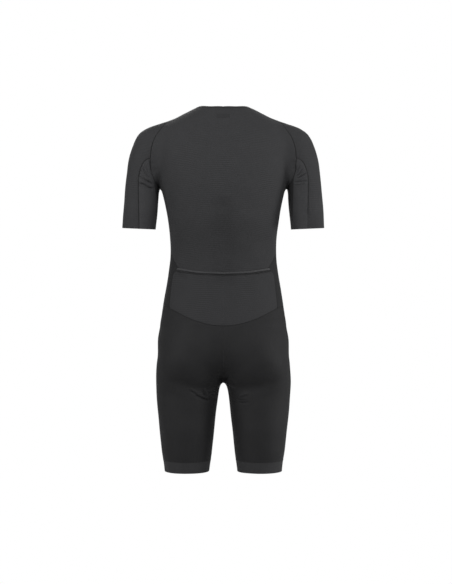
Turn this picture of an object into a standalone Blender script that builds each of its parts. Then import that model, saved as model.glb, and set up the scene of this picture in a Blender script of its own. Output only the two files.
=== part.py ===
"""Short-sleeved one-piece triathlon suit, filled out as if worn, with nobody in it.

Metres, +Z up. The chest faces -Y, the back +Y, and the wearer's left is +X. The origin is on the
centre plane at the height of the shoulders beside the neck, where the wearer holds the suit up.
The cloth lies on a plain figure made of five blended tubes. Every panel is a four-sided net between
its seams, stretched over that figure, and two panels share the same points along their seam.
"""

import math

import bmesh
import bpy
import numpy as np
from mathutils import Matrix, Vector

# Driving dimensions.
CLOTH = 0.0011  # wall of a panel
SEAM_GAP = 0.0003  # between two panels along a seam
LAYER_GAP = 0.0003  # between a panel and what is sewn on top of it
BINDING = 0.0018  # wall of a folded binding
ZIP_TAPE_WIDTH = 0.008  # of each of the two tapes
HEM_HEIGHT = -0.929
LEG_BAND_HEIGHT = 0.030
CUFF_HEIGHT = -0.311  # at the inner side of the arm
CUFF_RISE = 0.004  # how much higher the cuff is at the outer side
CROTCH_INSIDE = -0.650  # a height inside the figure, over the crotch
ARMPIT_INSIDE = -0.150  # a height inside the figure, over the armpit
SLEEVE_MIDDLE = (0.2153, 0.0)  # across and depth, at the cuff
LEG_MIDDLE = (0.0925, 0.006)  # across and depth, at the leg band

# The figure. Each row is one level section: its height, its two sides across, how far it reaches
# to the back and to the front, and its roundness (2 is an ellipse, more is squarer).
TORSO = (
    # height, inner, outer, back, front, roundness
    (0.014, -0.0560, 0.0560, 0.055, -0.046, 2.0),
    (0.000, -0.0590, 0.0590, 0.059, -0.050, 2.0),
    (-0.008, -0.0780, 0.0780, 0.064, -0.053, 1.8),
    (-0.018, -0.0975, 0.0975, 0.070, -0.057, 1.75),
    (-0.028, -0.1180, 0.1180, 0.075, -0.062, 1.75),
    (-0.038, -0.1380, 0.1380, 0.079, -0.066, 1.8),
    (-0.054, -0.1600, 0.1600, 0.085, -0.073, 1.9),
    (-0.075, -0.1710, 0.1710, 0.091, -0.083, 2.1),
    (-0.100, -0.1730, 0.1730, 0.098, -0.094, 2.2),
    (-0.135, -0.1720, 0.1720, 0.105, -0.103, 2.3),
    (-0.170, -0.1670, 0.1670, 0.109, -0.109, 2.3),
    (-0.207, -0.1585, 0.1585, 0.109, -0.112, 2.3),
    (-0.238, -0.1513, 0.1513, 0.106, -0.112, 2.25),
    (-0.268, -0.1457, 0.1457, 0.101, -0.110, 2.2),
    (-0.299, -0.1407, 0.1407, 0.096, -0.108, 2.2),
    (-0.330, -0.1369, 0.1369, 0.090, -0.106, 2.2),
    (-0.362, -0.1352, 0.1352, 0.085, -0.104, 2.2),
    (-0.391, -0.1360, 0.1360, 0.084, -0.103, 2.2),
    (-0.422, -0.1399, 0.1399, 0.085, -0.102, 2.2),
    (-0.468, -0.1474, 0.1474, 0.092, -0.102, 2.2),
    (-0.514, -0.1545, 0.1545, 0.103, -0.101, 2.25),
    (-0.560, -0.1602, 0.1602, 0.112, -0.099, 2.3),
    (-0.600, -0.1600, 0.1600, 0.115, -0.096, 2.3),
    (-0.630, -0.1480, 0.1480, 0.109, -0.090, 2.2),
    (-0.655, -0.1280, 0.1280, 0.093, -0.080, 2.0),
    (-0.675, -0.0880, 0.0880, 0.068, -0.060, 2.0),
    (-0.690, -0.0400, 0.0400, 0.034, -0.030, 2.0),
)
ARM = (
    # height, inner, outer, back, front, roundness
    (-0.046, 0.1440, 0.1740, 0.014, -0.014, 2.0),
    (-0.054, 0.1400, 0.1985, 0.026, -0.026, 2.0),
    (-0.064, 0.1370, 0.2150, 0.035, -0.034, 2.0),
    (-0.084, 0.1400, 0.2285, 0.045, -0.043, 2.0),
    (-0.100, 0.1430, 0.2340, 0.050, -0.047, 2.0),
    (-0.135, 0.1480, 0.2415, 0.054, -0.051, 2.0),
    (-0.175, 0.1560, 0.2470, 0.054, -0.052, 2.0),
    (-0.207, 0.1640, 0.2503, 0.052, -0.051, 2.0),
    (-0.238, 0.1662, 0.2530, 0.050, -0.050, 2.0),
    (-0.268, 0.1683, 0.2553, 0.050, -0.049, 2.0),
    (-0.299, 0.1714, 0.2573, 0.049, -0.048, 2.0),
    (-0.360, 0.1765, 0.2610, 0.047, -0.046, 2.0),
)
LEG = (
    # height, inner, outer, back, front, roundness
    (-0.560, 0.0300, 0.1380, 0.096, -0.080, 2.0),
    (-0.590, 0.0080, 0.1540, 0.111, -0.086, 2.1),
    (-0.621, 0.0020, 0.1635, 0.119, -0.088, 2.2),
    (-0.645, 0.0010, 0.1680, 0.120, -0.087, 2.2),
    (-0.670, 0.0020, 0.1702, 0.116, -0.085, 2.2),
    (-0.698, 0.0080, 0.1714, 0.106, -0.084, 2.2),
    (-0.728, 0.0115, 0.1706, 0.098, -0.084, 2.15),
    (-0.759, 0.0157, 0.1686, 0.094, -0.082, 2.1),
    (-0.790, 0.0193, 0.1660, 0.091, -0.080, 2.1),
    (-0.820, 0.0227, 0.1631, 0.088, -0.077, 2.1),
    (-0.851, 0.0257, 0.1595, 0.084, -0.073, 2.1),
    (-0.882, 0.0293, 0.1559, 0.079, -0.067, 2.1),
    (-0.912, 0.0337, 0.1511, 0.073, -0.061, 2.1),
    (-0.940, 0.0370, 0.1480, 0.068, -0.058, 2.1),
)
ARM_BLEND = ((-0.220, 0.014), (-0.190, 0.018), (-0.130, 0.032), (-0.060, 0.034))  # height, reach
LEG_BLEND = 0.018  # between the two legs
SEAT_BLEND = 0.030  # between the legs and the torso
CAP_BLEND = 0.020  # how softly the top of a leg and the foot of the torso are rounded off
ARM_CAP = 0.004  # how far the arm's rounded top rises over its first section

# Seams of the wearer's left side. A row is the side of the figure that the point lies on, and its
# two places there: across and height for back and front, depth and height for side, across and
# depth for top and under, angle from the middle of the back and height for neck.
ARMHOLE_BACK = (
    ("top", 0.137, -0.003),
    ("back", 0.1559, -0.058),
    ("back", 0.1727, -0.084),
    ("back", 0.1805, -0.108),
    ("back", 0.1838, -0.137),
)
ARMPIT_BACK = (
    ("back", 0.1838, -0.137),
    ("back", 0.1825, -0.1535),
    ("back", 0.1795, -0.1745),
    ("back", 0.1729, -0.1925),
    ("under", 0.1625, 0.0),
)
ARMPIT_FRONT = (
    ("under", 0.1625, 0.0),
    ("front", 0.1700, -0.1925),
    ("front", 0.1745, -0.1745),
    ("front", 0.1765, -0.1535),
    ("front", 0.1770, -0.137),
)
ARMHOLE_FRONT = (
    ("front", 0.1770, -0.137),
    ("front", 0.1745, -0.108),
    ("front", 0.1675, -0.084),
    ("front", 0.1530, -0.058),
    ("top", 0.137, -0.003),
)
GUSSET_BACK = (
    ("back", 0.1838, -0.137),
    ("back", 0.1906, -0.1385),
    ("back", 0.2009, -0.1470),
    ("back", 0.2089, -0.1647),
    ("back", 0.2131, -0.1820),
    ("back", 0.2140, -0.2050),
    ("back", 0.2133, -0.2550),
    ("back", 0.2123, -0.3090),
)
GUSSET_FRONT = (
    ("front", 0.1770, -0.137),
    ("front", 0.1860, -0.1400),
    ("front", 0.1980, -0.1500),
    ("front", 0.2070, -0.1680),
    ("front", 0.2115, -0.1860),
    ("front", 0.2130, -0.2080),
    ("front", 0.2130, -0.2550),
    ("front", 0.2123, -0.3090),
)
NECK_BACK = (("neck", 0, -0.0135), ("neck", 35, -0.0115), ("neck", 68, -0.0080), ("neck", 96, -0.0050))
NECK_FRONT = (
    ("neck", 96, -0.0050),
    ("neck", 115, -0.0170),
    ("neck", 135, -0.0370),
    ("neck", 156, -0.0570),
    ("front", ZIP_TAPE_WIDTH, -0.0650),
)
BINDING_BACK = (("neck", 0, -0.0080), ("neck", 35, -0.0060), ("neck", 68, -0.0025), ("neck", 96, 0.0005))
BINDING_FRONT = (
    ("neck", 96, 0.0005),
    ("neck", 115, -0.0115),
    ("neck", 135, -0.0315),
    ("neck", 156, -0.0515),
    ("front", ZIP_TAPE_WIDTH, -0.0595),
)
SHOULDER = (("neck", 96, -0.0050), ("top", 0.100, -0.004), ("top", 0.137, -0.003))
SIDE_BACK = (
    ("under", 0.1625, 0.0),
    ("side", -0.001, -0.235),
    ("side", -0.003, -0.290),
    ("side", 0.000, -0.362),
)
SIDE_WEDGE = (("side", 0.000, -0.362), ("back", 0.1270, -0.388), ("back", 0.1165, -0.4125))
BINDING_END = (("back", 0.1165, -0.4125), ("back", 0.1215, -0.4195))
POCKET_SIDE = (
    ("back", 0.1215, -0.4195),
    ("back", 0.1262, -0.4270),
    ("back", 0.1305, -0.4700),
    ("back", 0.1340, -0.5130),
)
SIDE_FRONT = (
    ("side", -0.048, -0.250),
    ("side", -0.050, -0.300),
    ("side", -0.046, -0.362),
    ("side", -0.040, -0.420),
    ("side", -0.036, -0.510),
)
POCKET_MOUTH = (("back", 0.0, -0.4240), ("back", 0.060, -0.4215), ("back", 0.1165, -0.4125))
POCKET_TOP = (("back", 0.0, -0.4310), ("back", 0.062, -0.4285), ("back", 0.1215, -0.4195))
POCKET_FOOT = (
    ("back", 0.0, -0.5570),
    ("back", 0.0348, -0.5532),
    ("back", 0.0815, -0.5390),
    ("back", 0.1340, -0.5130),
)
SIDE_FOOT_BACK = (("back", 0.1340, -0.5130), ("side", 0.038, -0.5100))
SIDE_FOOT_FRONT = (("side", 0.038, -0.5100), ("side", 0.0, -0.5090), ("side", -0.036, -0.5100))
FRONT_FOOT = (
    ("side", -0.036, -0.5100),
    ("front", 0.110, -0.5130),
    ("front", 0.055, -0.5190),
    ("front", ZIP_TAPE_WIDTH, -0.5210),
)
ZIP_EDGE = (
    ("front", ZIP_TAPE_WIDTH, -0.0650),
    ("front", ZIP_TAPE_WIDTH, -0.2000),
    ("front", ZIP_TAPE_WIDTH, -0.3600),
    ("front", ZIP_TAPE_WIDTH, -0.5210),
)
ZIP_MIDDLE = (
    ("front", 0.0, -0.0655),
    ("front", 0.0, -0.2000),
    ("front", 0.0, -0.3600),
    ("front", 0.0, -0.5210),
)
SEAT_SEAM = (
    ("back", 0.0, -0.5570),
    ("back", 0.0, -0.6100),
    ("back", 0.0, -0.6500),
    ("under", 0.0, 0.060),
    ("under", 0.0, 0.004),
)
FLY_SEAM = (
    ("front", 0.0, -0.5210),
    ("front", 0.0, -0.5700),
    ("front", 0.0, -0.6200),
    ("under", 0.0, -0.050),
    ("under", 0.0, 0.004),
)
INSEAM = (
    ("under", 0.0, 0.004),
    ("inner", 0.004, -0.7300),
    ("inner", 0.004, -0.8200),
    ("inner", 0.003, -0.8990),
)
OUTSEAM = (
    ("side", 0.038, -0.5100),
    ("side", 0.038, -0.5600),
    ("side", 0.034, -0.6000),
    ("side", 0.020, -0.6450),
    ("side", 0.006, -0.6800),
    ("side", 0.000, -0.7300),
    ("side", 0.000, -0.8200),
    ("side", 0.002, -0.8990),
)

# Cells of each seam. Opposite edges of a panel add up to the same number.
SHOULDER_CELLS = 3
NECK_CELLS = 5
ARMHOLE_CELLS = 6
ARMPIT_CELLS = 6
SIDE_TOP_CELLS = 3  # the part of the armpit that the side panel takes
SIDE_BACK_CELLS = 6
WEDGE_CELLS = 3
POCKET_CELLS = 4
SIDE_CELLS = SIDE_BACK_CELLS + WEDGE_CELLS + 1 + POCKET_CELLS
GUSSET_CELLS = 9
SEAT_CELLS = 8
INSEAM_CELLS = 6
HALF_CELLS = NECK_CELLS + SHOULDER_CELLS
FRONT_CELLS = ARMHOLE_CELLS + ARMPIT_CELLS - SIDE_TOP_CELLS + SIDE_CELLS
RELAX_STEPS = 40

# The zip's slider and pull tab.
SLIDER_DROP = 0.010  # below the top of the zip
SLIDER_SIZE = (0.0066, 0.0088, 0.0024)  # across, along, out
SLIDER_CORNER = 0.0014
BRIDGE_WIDTH = 0.0014
BRIDGE_WALL = 0.0007
BRIDGE_PLAY = 0.0005  # round the pull's bar
BRIDGE_SINK = 0.0005  # how deep the bridge's feet go into the slider
PULL_LENGTH = 0.024
PULL_WIDTH = 0.0054
PULL_THICKNESS = 0.0012
PULL_WINDOW = (0.0028, 0.0034)  # across, along
PULL_BAR = 0.0012
COLLECTION = "triathlon_suit"
CUTTERS = "cutters"  # holds the bridge that the slider is joined with

# Base colour, roughness and metallic of each finish.
FINISHES = {
    "knit_charcoal": ((0.045, 0.045, 0.048), 0.75, 0.0),
    "knit_pocket": ((0.040, 0.040, 0.043), 0.75, 0.0),
    "knit_black": ((0.024, 0.024, 0.026), 0.7, 0.0),
    "knit_side": ((0.020, 0.020, 0.022), 0.7, 0.0),
    "grip_band": ((0.032, 0.032, 0.034), 0.65, 0.0),
    "binding_black": ((0.015, 0.015, 0.016), 0.7, 0.0),
    "zip_tape_black": ((0.012, 0.012, 0.013), 0.8, 0.0),
    "zip_metal_black": ((0.03, 0.03, 0.032), 0.35, 0.8),
}


def along_table(table, heights):
    """The table's columns at these heights, on a smooth curve through its rows."""
    rows = np.array(table, float)[::-1]
    keys, values = rows[:, 0], rows[:, 1:]
    slopes = np.gradient(values, keys, axis=0)
    i = np.clip(np.searchsorted(keys, heights) - 1, 0, len(keys) - 2)
    span = keys[i + 1] - keys[i]
    t = np.clip((heights - keys[i]) / span, 0, 1)[:, None]
    span = span[:, None]
    start = (1 + 2 * t) * (1 - t) ** 2 * values[i] + t * (1 - t) ** 2 * span * slopes[i]
    end = t**2 * (3 - 2 * t) * values[i + 1] - t**2 * (1 - t) * span * slopes[i + 1]
    return start + end


def tube(points, table, mirrored=False):
    """About how far each point is outside the tube of this table, negative inside it."""
    inner, outer, back, front, roundness = along_table(table, points[:, 2]).T
    across = (-points[:, 0] if mirrored else points[:, 0]) - (inner + outer) / 2
    deep = points[:, 1] - (back + front) / 2
    share = (np.abs(across) * 2 / (outer - inner)) ** roundness
    share += (np.abs(deep) * 2 / (back - front)) ** roundness
    reach = np.maximum(share, 1e-12) ** (1 / roundness)
    return np.hypot(across, deep) * (1 - 1 / reach)


def joined(a, b, blend):
    """The union of two fields, with a soft fillet of this reach between them."""
    soft = np.maximum(blend - np.abs(a - b), 0) / blend
    return np.minimum(a, b) - soft**2 * blend / 4


def cut(field, beyond, blend):
    """The field of a tube cut off where `beyond` is positive, with a soft edge."""
    return -joined(-field, -beyond, blend)


def figure(points):
    """The field of the whole figure: zero on its skin and positive outside."""
    flipped = mirrored(points)
    height = points[:, 2]
    body = cut(tube(points, TORSO), TORSO[-1][0] - height, CAP_BLEND)
    keys, reaches = zip(*ARM_BLEND)
    blend = np.interp(height, keys, reaches)
    for place in (points, flipped):
        arm = cut(tube(place, ARM), height - ARM[0][0] - ARM_CAP, CAP_BLEND / 2)
        arm = cut(arm, ARM[-1][0] - height, CAP_BLEND / 2)
        body = joined(body, arm, blend)
    legs = joined(tube(points, LEG), tube(flipped, LEG), LEG_BLEND)
    legs = cut(legs, height - LEG[0][0], CAP_BLEND)
    return joined(body, legs, SEAT_BLEND)


def outward(points):
    """The field's slope at each point, which points straight out of the skin."""
    step = 5e-5
    slopes = [figure(points + step * axis) - figure(points - step * axis) for axis in np.eye(3)]
    return np.stack(slopes, axis=1) / (2 * step)


def settled(points, depth=CLOTH / 2):
    """The points moved straight onto the layer that lies this deep under the skin."""
    flat = np.array(points, float).reshape(-1, 3)
    for _ in range(5):
        slope = outward(flat)
        flat -= ((figure(flat) + depth) / (slope**2).sum(1))[:, None] * slope
    return flat.reshape(np.shape(points))


def cast(origin, direction, depth=CLOTH / 2):
    """Where a straight line from inside the figure comes out through the cloth."""
    origin, direction = np.array(origin, float), np.array(direction, float)
    reach = np.linspace(0, 0.32, 161)
    field = figure(origin + reach[:, None] * direction) + depth
    first = int(np.argmax(field > 0))
    low, high = reach[max(first - 1, 0)], reach[first]
    for _ in range(24):
        middle = (low + high) / 2
        if figure((origin + middle * direction)[None])[0] + depth > 0:
            high = middle
        else:
            low = middle
    return origin + high * direction


def on_skin(row):
    """The point of the cloth that a seam table's row names."""
    view, first, second = row
    if view == "back":
        return cast((first, 0.0, second), (0, 1, 0))
    if view == "front":
        return cast((first, 0.0, second), (0, -1, 0))
    if view == "side":
        return cast((0.090, first, second), (1, 0, 0))
    if view == "inner":
        return cast((0.090, first, second), (-1, 0, 0))
    if view == "top":
        return cast((first, second, -0.100), (0, 0, 1))
    if view == "under":
        start = CROTCH_INSIDE if first == 0 else ARMPIT_INSIDE
        return cast((first, second, start), (0, 0, -1))
    turn = math.radians(first)
    return cast((0.0, 0.004, second), (math.sin(turn), math.cos(turn), 0))


def smooth_line(points, cells):
    """Evenly spaced points on a smooth curve through these, with their ends kept."""
    points = np.array(points, float)
    chords = np.linalg.norm(np.diff(points, axis=0), axis=1) ** 0.5
    keys = np.concatenate([[0], np.cumsum(chords)])
    table = np.column_stack([keys, points])[::-1]
    fine = along_table(table, np.linspace(0, keys[-1], 40 * cells + 1))
    length = np.concatenate([[0], np.cumsum(np.linalg.norm(np.diff(fine, axis=0), axis=1))])
    at = np.linspace(0, length[-1], cells + 1)
    return np.stack([np.interp(at, length, fine[:, k]) for k in range(3)], axis=1)


def seam(table, cells):
    """A seam of the left side as evenly spaced points on the cloth."""
    return settled(smooth_line([on_skin(row) for row in table], cells))


def chain(*lines):
    """Lines that follow each other end to end, as one."""
    return np.concatenate([lines[0]] + [line[1:] for line in lines[1:]])


def net(top, bottom, left, right):
    """A grid of points between four edges, relaxed on the cloth until it is even."""
    rows, columns = len(left), len(top)
    v = np.linspace(0, 1, rows)[:, None, None]
    u = np.linspace(0, 1, columns)[None, :, None]
    grid = (1 - v) * top[None] + v * bottom[None] + (1 - u) * left[:, None] + u * right[:, None]
    grid -= (1 - v) * ((1 - u) * top[0] + u * top[-1]) + v * ((1 - u) * bottom[0] + u * bottom[-1])
    grid[0], grid[-1], grid[:, 0], grid[:, -1] = top, bottom, left, right
    if rows < 3 or columns < 3:
        return grid
    for _ in range(RELAX_STEPS):
        sides = grid[:-2, 1:-1] + grid[2:, 1:-1] + grid[1:-1, :-2] + grid[1:-1, 2:]
        middle = sides / 4
        slope = outward(middle.reshape(-1, 3))
        far = figure(middle.reshape(-1, 3)) + CLOTH / 2
        shift = (far / (slope**2).sum(1))[:, None] * slope
        grid[1:-1, 1:-1] = middle - shift.reshape(middle.shape)
    grid[1:-1, 1:-1] = settled(grid[1:-1, 1:-1])
    return grid


def rim_of(rows, columns):
    """The row and column of each point of a grid's rim, in order round it."""
    top = [(0, c) for c in range(columns)]
    right = [(r, columns - 1) for r in range(1, rows)]
    bottom = [(rows - 1, c) for c in range(columns - 2, -1, -1)]
    left = [(r, 0) for r in range(rows - 2, 0, -1)]
    return tuple(np.array(top + right + bottom + left).T)


def drawn_in(grid, normals):
    """The grid with its rim moved in by half a seam gap, along the cloth."""
    rim = rim_of(*grid.shape[:2])
    line, up = grid[rim], normals[rim]
    ahead = np.roll(line, -1, axis=0) - line
    inward = np.cross(ahead, up)
    inward /= np.linalg.norm(inward, axis=1, keepdims=True)
    before = np.roll(inward, 1, axis=0)
    spread = np.maximum(1 + (inward * before).sum(1, keepdims=True), 0.3)
    moved = grid.copy()
    moved[rim] += (inward + before) / spread * SEAM_GAP / 2
    return moved


def facing_out(grid, normals):
    """The grid and normals, with the columns turned round where the net faces inward."""
    r, c = (n // 2 for n in grid.shape[:2])
    down, across = grid[r, c] - grid[r - 1, c], grid[r, c] - grid[r, c - 1]
    if np.dot(np.cross(down, across), normals[r, c]) > 0:
        return grid, normals
    return grid[:, ::-1], normals[:, ::-1]


def panel(name, grid, finish, wall=CLOTH, out=0.0, parent=None):
    """A cloth panel: its net thickened to a wall, at a distance out from the bare cloth."""
    normals = outward(grid.reshape(-1, 3))
    normals = (normals / np.linalg.norm(normals, axis=1, keepdims=True)).reshape(grid.shape)
    grid, normals = facing_out(grid, normals)
    grid = drawn_in(grid, normals) + out * normals
    rows, columns = grid.shape[:2]
    mesh = bmesh.new()
    bmesh.ops.create_grid(mesh, x_segments=columns - 1, y_segments=rows - 1, size=1)
    place = mesh.verts.layers.int.new("place")
    corners = np.array([vertex.co[:2] for vertex in mesh.verts])
    column = np.rint((corners[:, 0] + 1) / 2 * (columns - 1)).astype(int)
    row = np.rint((1 - corners[:, 1]) / 2 * (rows - 1)).astype(int)
    for vertex, r, c in zip(mesh.verts, row, column):
        vertex[place] = int(r) * columns + int(c)
    inner = set(mesh.verts)
    bmesh.ops.extrude_face_region(mesh, geom=mesh.faces[:])
    for vertex in mesh.verts:
        side = -0.5 if vertex in inner else 0.5
        r, c = divmod(vertex[place], columns)
        vertex.co = Vector(grid[r, c] + side * wall * normals[r, c])
    bmesh.ops.recalc_face_normals(mesh, faces=mesh.faces[:])
    # Two panels split the twisted faces along their seam by the same diagonal.
    bmesh.ops.triangulate(mesh, faces=mesh.faces[:], quad_method="SHORT_EDGE")
    return named(name, mesh, finish, parent)


def named(name, mesh, finish, parent=None, collection=COLLECTION):
    """An object of this mesh in one of the two collections, with its own material."""
    data = bpy.data.meshes.new(name)
    mesh.to_mesh(data)
    mesh.free()
    data.shade_smooth()
    data.set_sharp_from_angle(angle=math.radians(40))
    made = bpy.data.objects.new(name, data)
    made.parent = parent
    bpy.data.collections[collection].objects.link(made)
    data.materials.append(material(name, finish))
    return made


def material(name, finish):
    """A Principled material of this finish."""
    colour, roughness, metallic = FINISHES[finish]
    made = bpy.data.materials.new(f"{name}_{finish}")
    made.use_nodes = True
    shader = made.node_tree.nodes["Principled BSDF"]
    shader.inputs["Base Color"].default_value = (*colour, 1)
    shader.inputs["Roughness"].default_value = roughness
    shader.inputs["Metallic"].default_value = metallic
    made.diffuse_color = (*colour, 1)
    return made


def mirrored(points):
    return points * (-1, 1, 1)


def both_sides(half):
    """A line from right to left whose left half runs out from the middle."""
    return chain(mirrored(half)[::-1], half)


def side_pair(name, grid, finish):
    """The panel of the left side and its mirror image on the right."""
    panel(f"{name}_left", grid, finish)
    panel(f"{name}_right", mirrored(grid), finish)


def lay_seams():
    """Every seam of the left side, by name."""
    seams = {
        "armhole_back": seam(ARMHOLE_BACK, ARMHOLE_CELLS),
        "armpit_back": seam(ARMPIT_BACK, ARMPIT_CELLS),
        "armpit_front": seam(ARMPIT_FRONT, ARMPIT_CELLS),
        "armhole_front": seam(ARMHOLE_FRONT, ARMHOLE_CELLS),
        "gusset_back": seam(GUSSET_BACK, GUSSET_CELLS),
        "gusset_front": seam(GUSSET_FRONT, GUSSET_CELLS),
        "neck_back": seam(NECK_BACK, NECK_CELLS),
        "neck_front": seam(NECK_FRONT, NECK_CELLS),
        "binding_back": seam(BINDING_BACK, NECK_CELLS),
        "binding_front": seam(BINDING_FRONT, NECK_CELLS),
        "shoulder": seam(SHOULDER, SHOULDER_CELLS),
        "side_back": seam(SIDE_BACK, SIDE_BACK_CELLS),
        "side_wedge": seam(SIDE_WEDGE, WEDGE_CELLS),
        "binding_end": seam(BINDING_END, 1),
        "pocket_side": seam(POCKET_SIDE, POCKET_CELLS),
        "pocket_mouth": seam(POCKET_MOUTH, HALF_CELLS),
        "pocket_top": seam(POCKET_TOP, HALF_CELLS),
        "pocket_foot": seam(POCKET_FOOT, HALF_CELLS),
        "side_foot_back": seam(SIDE_FOOT_BACK, 1),
        "side_foot_front": seam(SIDE_FOOT_FRONT, SIDE_TOP_CELLS - 1),
        "front_foot": seam(FRONT_FOOT, HALF_CELLS),
        "zip_edge": seam(ZIP_EDGE, FRONT_CELLS),
        "zip_middle": seam(ZIP_MIDDLE, FRONT_CELLS),
        "seat": seam(SEAT_SEAM, SEAT_CELLS),
        "fly": seam(FLY_SEAM, SEAT_CELLS),
        "inseam": seam(INSEAM, INSEAM_CELLS),
        "outseam": seam(OUTSEAM, SEAT_CELLS + INSEAM_CELLS),
    }
    side_start = [seams["armpit_front"][SIDE_TOP_CELLS]]
    rest = [on_skin(row) for row in SIDE_FRONT]
    seams["side_front"] = settled(smooth_line(side_start + rest, SIDE_CELLS))
    return seams


def ring(centre, degrees, cells, heights):
    """Points round a limb between two angles from its back, each at its own height."""
    line = []
    for turn in np.radians(np.linspace(*degrees, cells + 1)):
        direction = np.array((math.sin(turn), math.cos(turn), 0))
        height = heights(direction[0])
        line.append(cast((centre[0], centre[1], height), direction))
    return np.array(line)


def between(start, end, centre, cells, height, outside):
    """A level line round a limb from one point to another, by its outer or its inner side."""
    turns = [math.degrees(math.atan2(p[0] - centre[0], p[1] - centre[1])) for p in (start, end)]
    if outside and turns[1] < turns[0]:
        turns[1] += 360
    if not outside and turns[1] > turns[0]:
        turns[1] -= 360
    return ring(centre, turns, cells, height)


def torso_panels(s):
    """The back with its pocket, the side panels, the fronts, the zip's tapes and the neck binding."""
    upper_side = chain(s["armhole_back"], s["armpit_back"], s["side_back"], s["side_wedge"])
    neck_line = both_sides(chain(s["neck_back"], s["shoulder"]))
    mouth, pocket_top = both_sides(s["pocket_mouth"]), both_sides(s["pocket_top"])
    foot = both_sides(s["pocket_foot"])
    upper = net(neck_line, mouth, mirrored(upper_side), upper_side)
    strip = net(mouth, pocket_top, mirrored(s["binding_end"]), s["binding_end"])
    pouch = net(pocket_top, foot, mirrored(s["pocket_side"]), s["pocket_side"])
    panel("back", np.concatenate([upper, strip[1:], pouch[1:]]), "knit_charcoal")
    panel("pocket", pouch, "knit_pocket", out=CLOTH + LAYER_GAP)
    panel("pocket_binding", strip, "binding_black", BINDING, (CLOTH + BINDING) / 2 + LAYER_GAP)

    side_back = chain(s["side_back"], s["side_wedge"], s["binding_end"], s["pocket_side"])
    side_top = s["armpit_front"][: SIDE_TOP_CELLS + 1]
    side_foot = chain(s["side_foot_back"], s["side_foot_front"])
    side_pair("side", net(side_top, side_foot, side_back, s["side_front"]), "knit_side")

    front_top = chain(s["neck_front"][::-1], s["shoulder"])
    armhole = chain(s["armpit_front"][SIDE_TOP_CELLS:], s["armhole_front"])[::-1]
    front_side = chain(armhole, s["side_front"])
    front = net(front_top, s["front_foot"][::-1], s["zip_edge"], front_side)
    side_pair("front", front, "knit_charcoal")
    tape = np.stack([s["zip_middle"], s["zip_edge"]], axis=1)
    side_pair("zip_tape", tape, "zip_tape_black")

    edge = chain(s["neck_back"], s["neck_front"])
    rim = chain(s["binding_back"], s["binding_front"])
    panel("neck_binding", np.stack([both_sides(rim), both_sides(edge)]), "binding_black", BINDING)


def cuff_height(facing):
    """The cuff's height where it faces this far outward, from -1 to 1."""
    return CUFF_HEIGHT + CUFF_RISE * (facing + 1) / 2


def band_top(_):
    """The height of the level seam over the leg band."""
    return HEM_HEIGHT + LEG_BAND_HEIGHT


def sleeve_panels(s):
    """The sleeves and the gussets that run down their inner sides."""
    back_end, front_end = s["gusset_back"][-1], s["gusset_front"][-1]
    outer = between(back_end, front_end, SLEEVE_MIDDLE, 2 * ARMHOLE_CELLS, cuff_height, True)
    inner = between(back_end, front_end, SLEEVE_MIDDLE, 2 * ARMPIT_CELLS, cuff_height, False)
    back_seam, front_seam = s["gusset_back"].copy(), s["gusset_front"].copy()
    back_seam[-1] = inner[0] = outer[0]
    front_seam[-1] = inner[-1] = outer[-1]
    over = chain(s["armhole_back"][::-1], s["armhole_front"][::-1])
    under = chain(s["armpit_back"], s["armpit_front"])
    side_pair("sleeve", net(over, outer, back_seam, front_seam), "knit_charcoal")
    side_pair("sleeve_gusset", net(under, inner, back_seam, front_seam), "knit_charcoal")


def leg_panels(s):
    """The backs and fronts of the shorts and the bands round the hems."""
    back_cells, front_cells = HALF_CELLS + 1, HALF_CELLS + SIDE_TOP_CELLS - 1
    in_end, out_end = s["inseam"][-1], s["outseam"][-1]
    back_foot = between(in_end, out_end, LEG_MIDDLE, back_cells, band_top, True)
    front_foot = between(in_end, out_end, LEG_MIDDLE, front_cells, band_top, False)
    inseam, outseam = s["inseam"].copy(), s["outseam"].copy()
    inseam[-1] = front_foot[0] = back_foot[0]
    outseam[-1] = front_foot[-1] = back_foot[-1]
    back_top = chain(s["pocket_foot"], s["side_foot_back"])
    back = net(back_top, back_foot, chain(s["seat"], inseam), outseam)
    side_pair("shorts_back", back, "knit_black")
    front_top = chain(s["side_foot_front"], s["front_foot"])
    front_top[-1] = s["fly"][0]
    front = net(front_top[::-1], front_foot, chain(s["fly"], inseam), outseam)
    side_pair("shorts_front", front, "knit_black")
    seam_line = chain(back_foot, front_foot[::-1])
    band = np.stack([seam_line, settled(seam_line - np.array((0, 0, LEG_BAND_HEIGHT)))])
    side_pair("leg_band", band, "grip_band")


def flat_piece(outline, hole, thickness):
    """A mesh of a flat outline, with or without a hole, as thick as this along its own Z."""
    curve = bpy.data.curves.new("outline", "CURVE")
    curve.dimensions = "2D"
    curve.fill_mode = "BOTH"
    curve.extrude = thickness / 2
    for line in (outline, hole):
        if line:
            spline = curve.splines.new("POLY")
            spline.points.add(len(line) - 1)
            spline.use_cyclic_u = True
            for point, (x, y) in zip(spline.points, line):
                point.co = (x, y, 0, 1)
    holder = bpy.data.objects.new("outline", curve)
    data = bpy.data.meshes.new_from_object(holder)
    bpy.data.objects.remove(holder)
    mesh = bmesh.new()
    mesh.from_mesh(data)
    bmesh.ops.remove_doubles(mesh, verts=mesh.verts, dist=1e-6)
    return mesh


def box_line(width, low, high, corner):
    """A rectangle about the middle line, with its corners cut off."""
    half = width / 2
    right = [(half - corner, low), (half, low + corner), (half, high - corner), (half - corner, high)]
    return right + [(-x, y) for x, y in reversed(right)]


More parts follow.
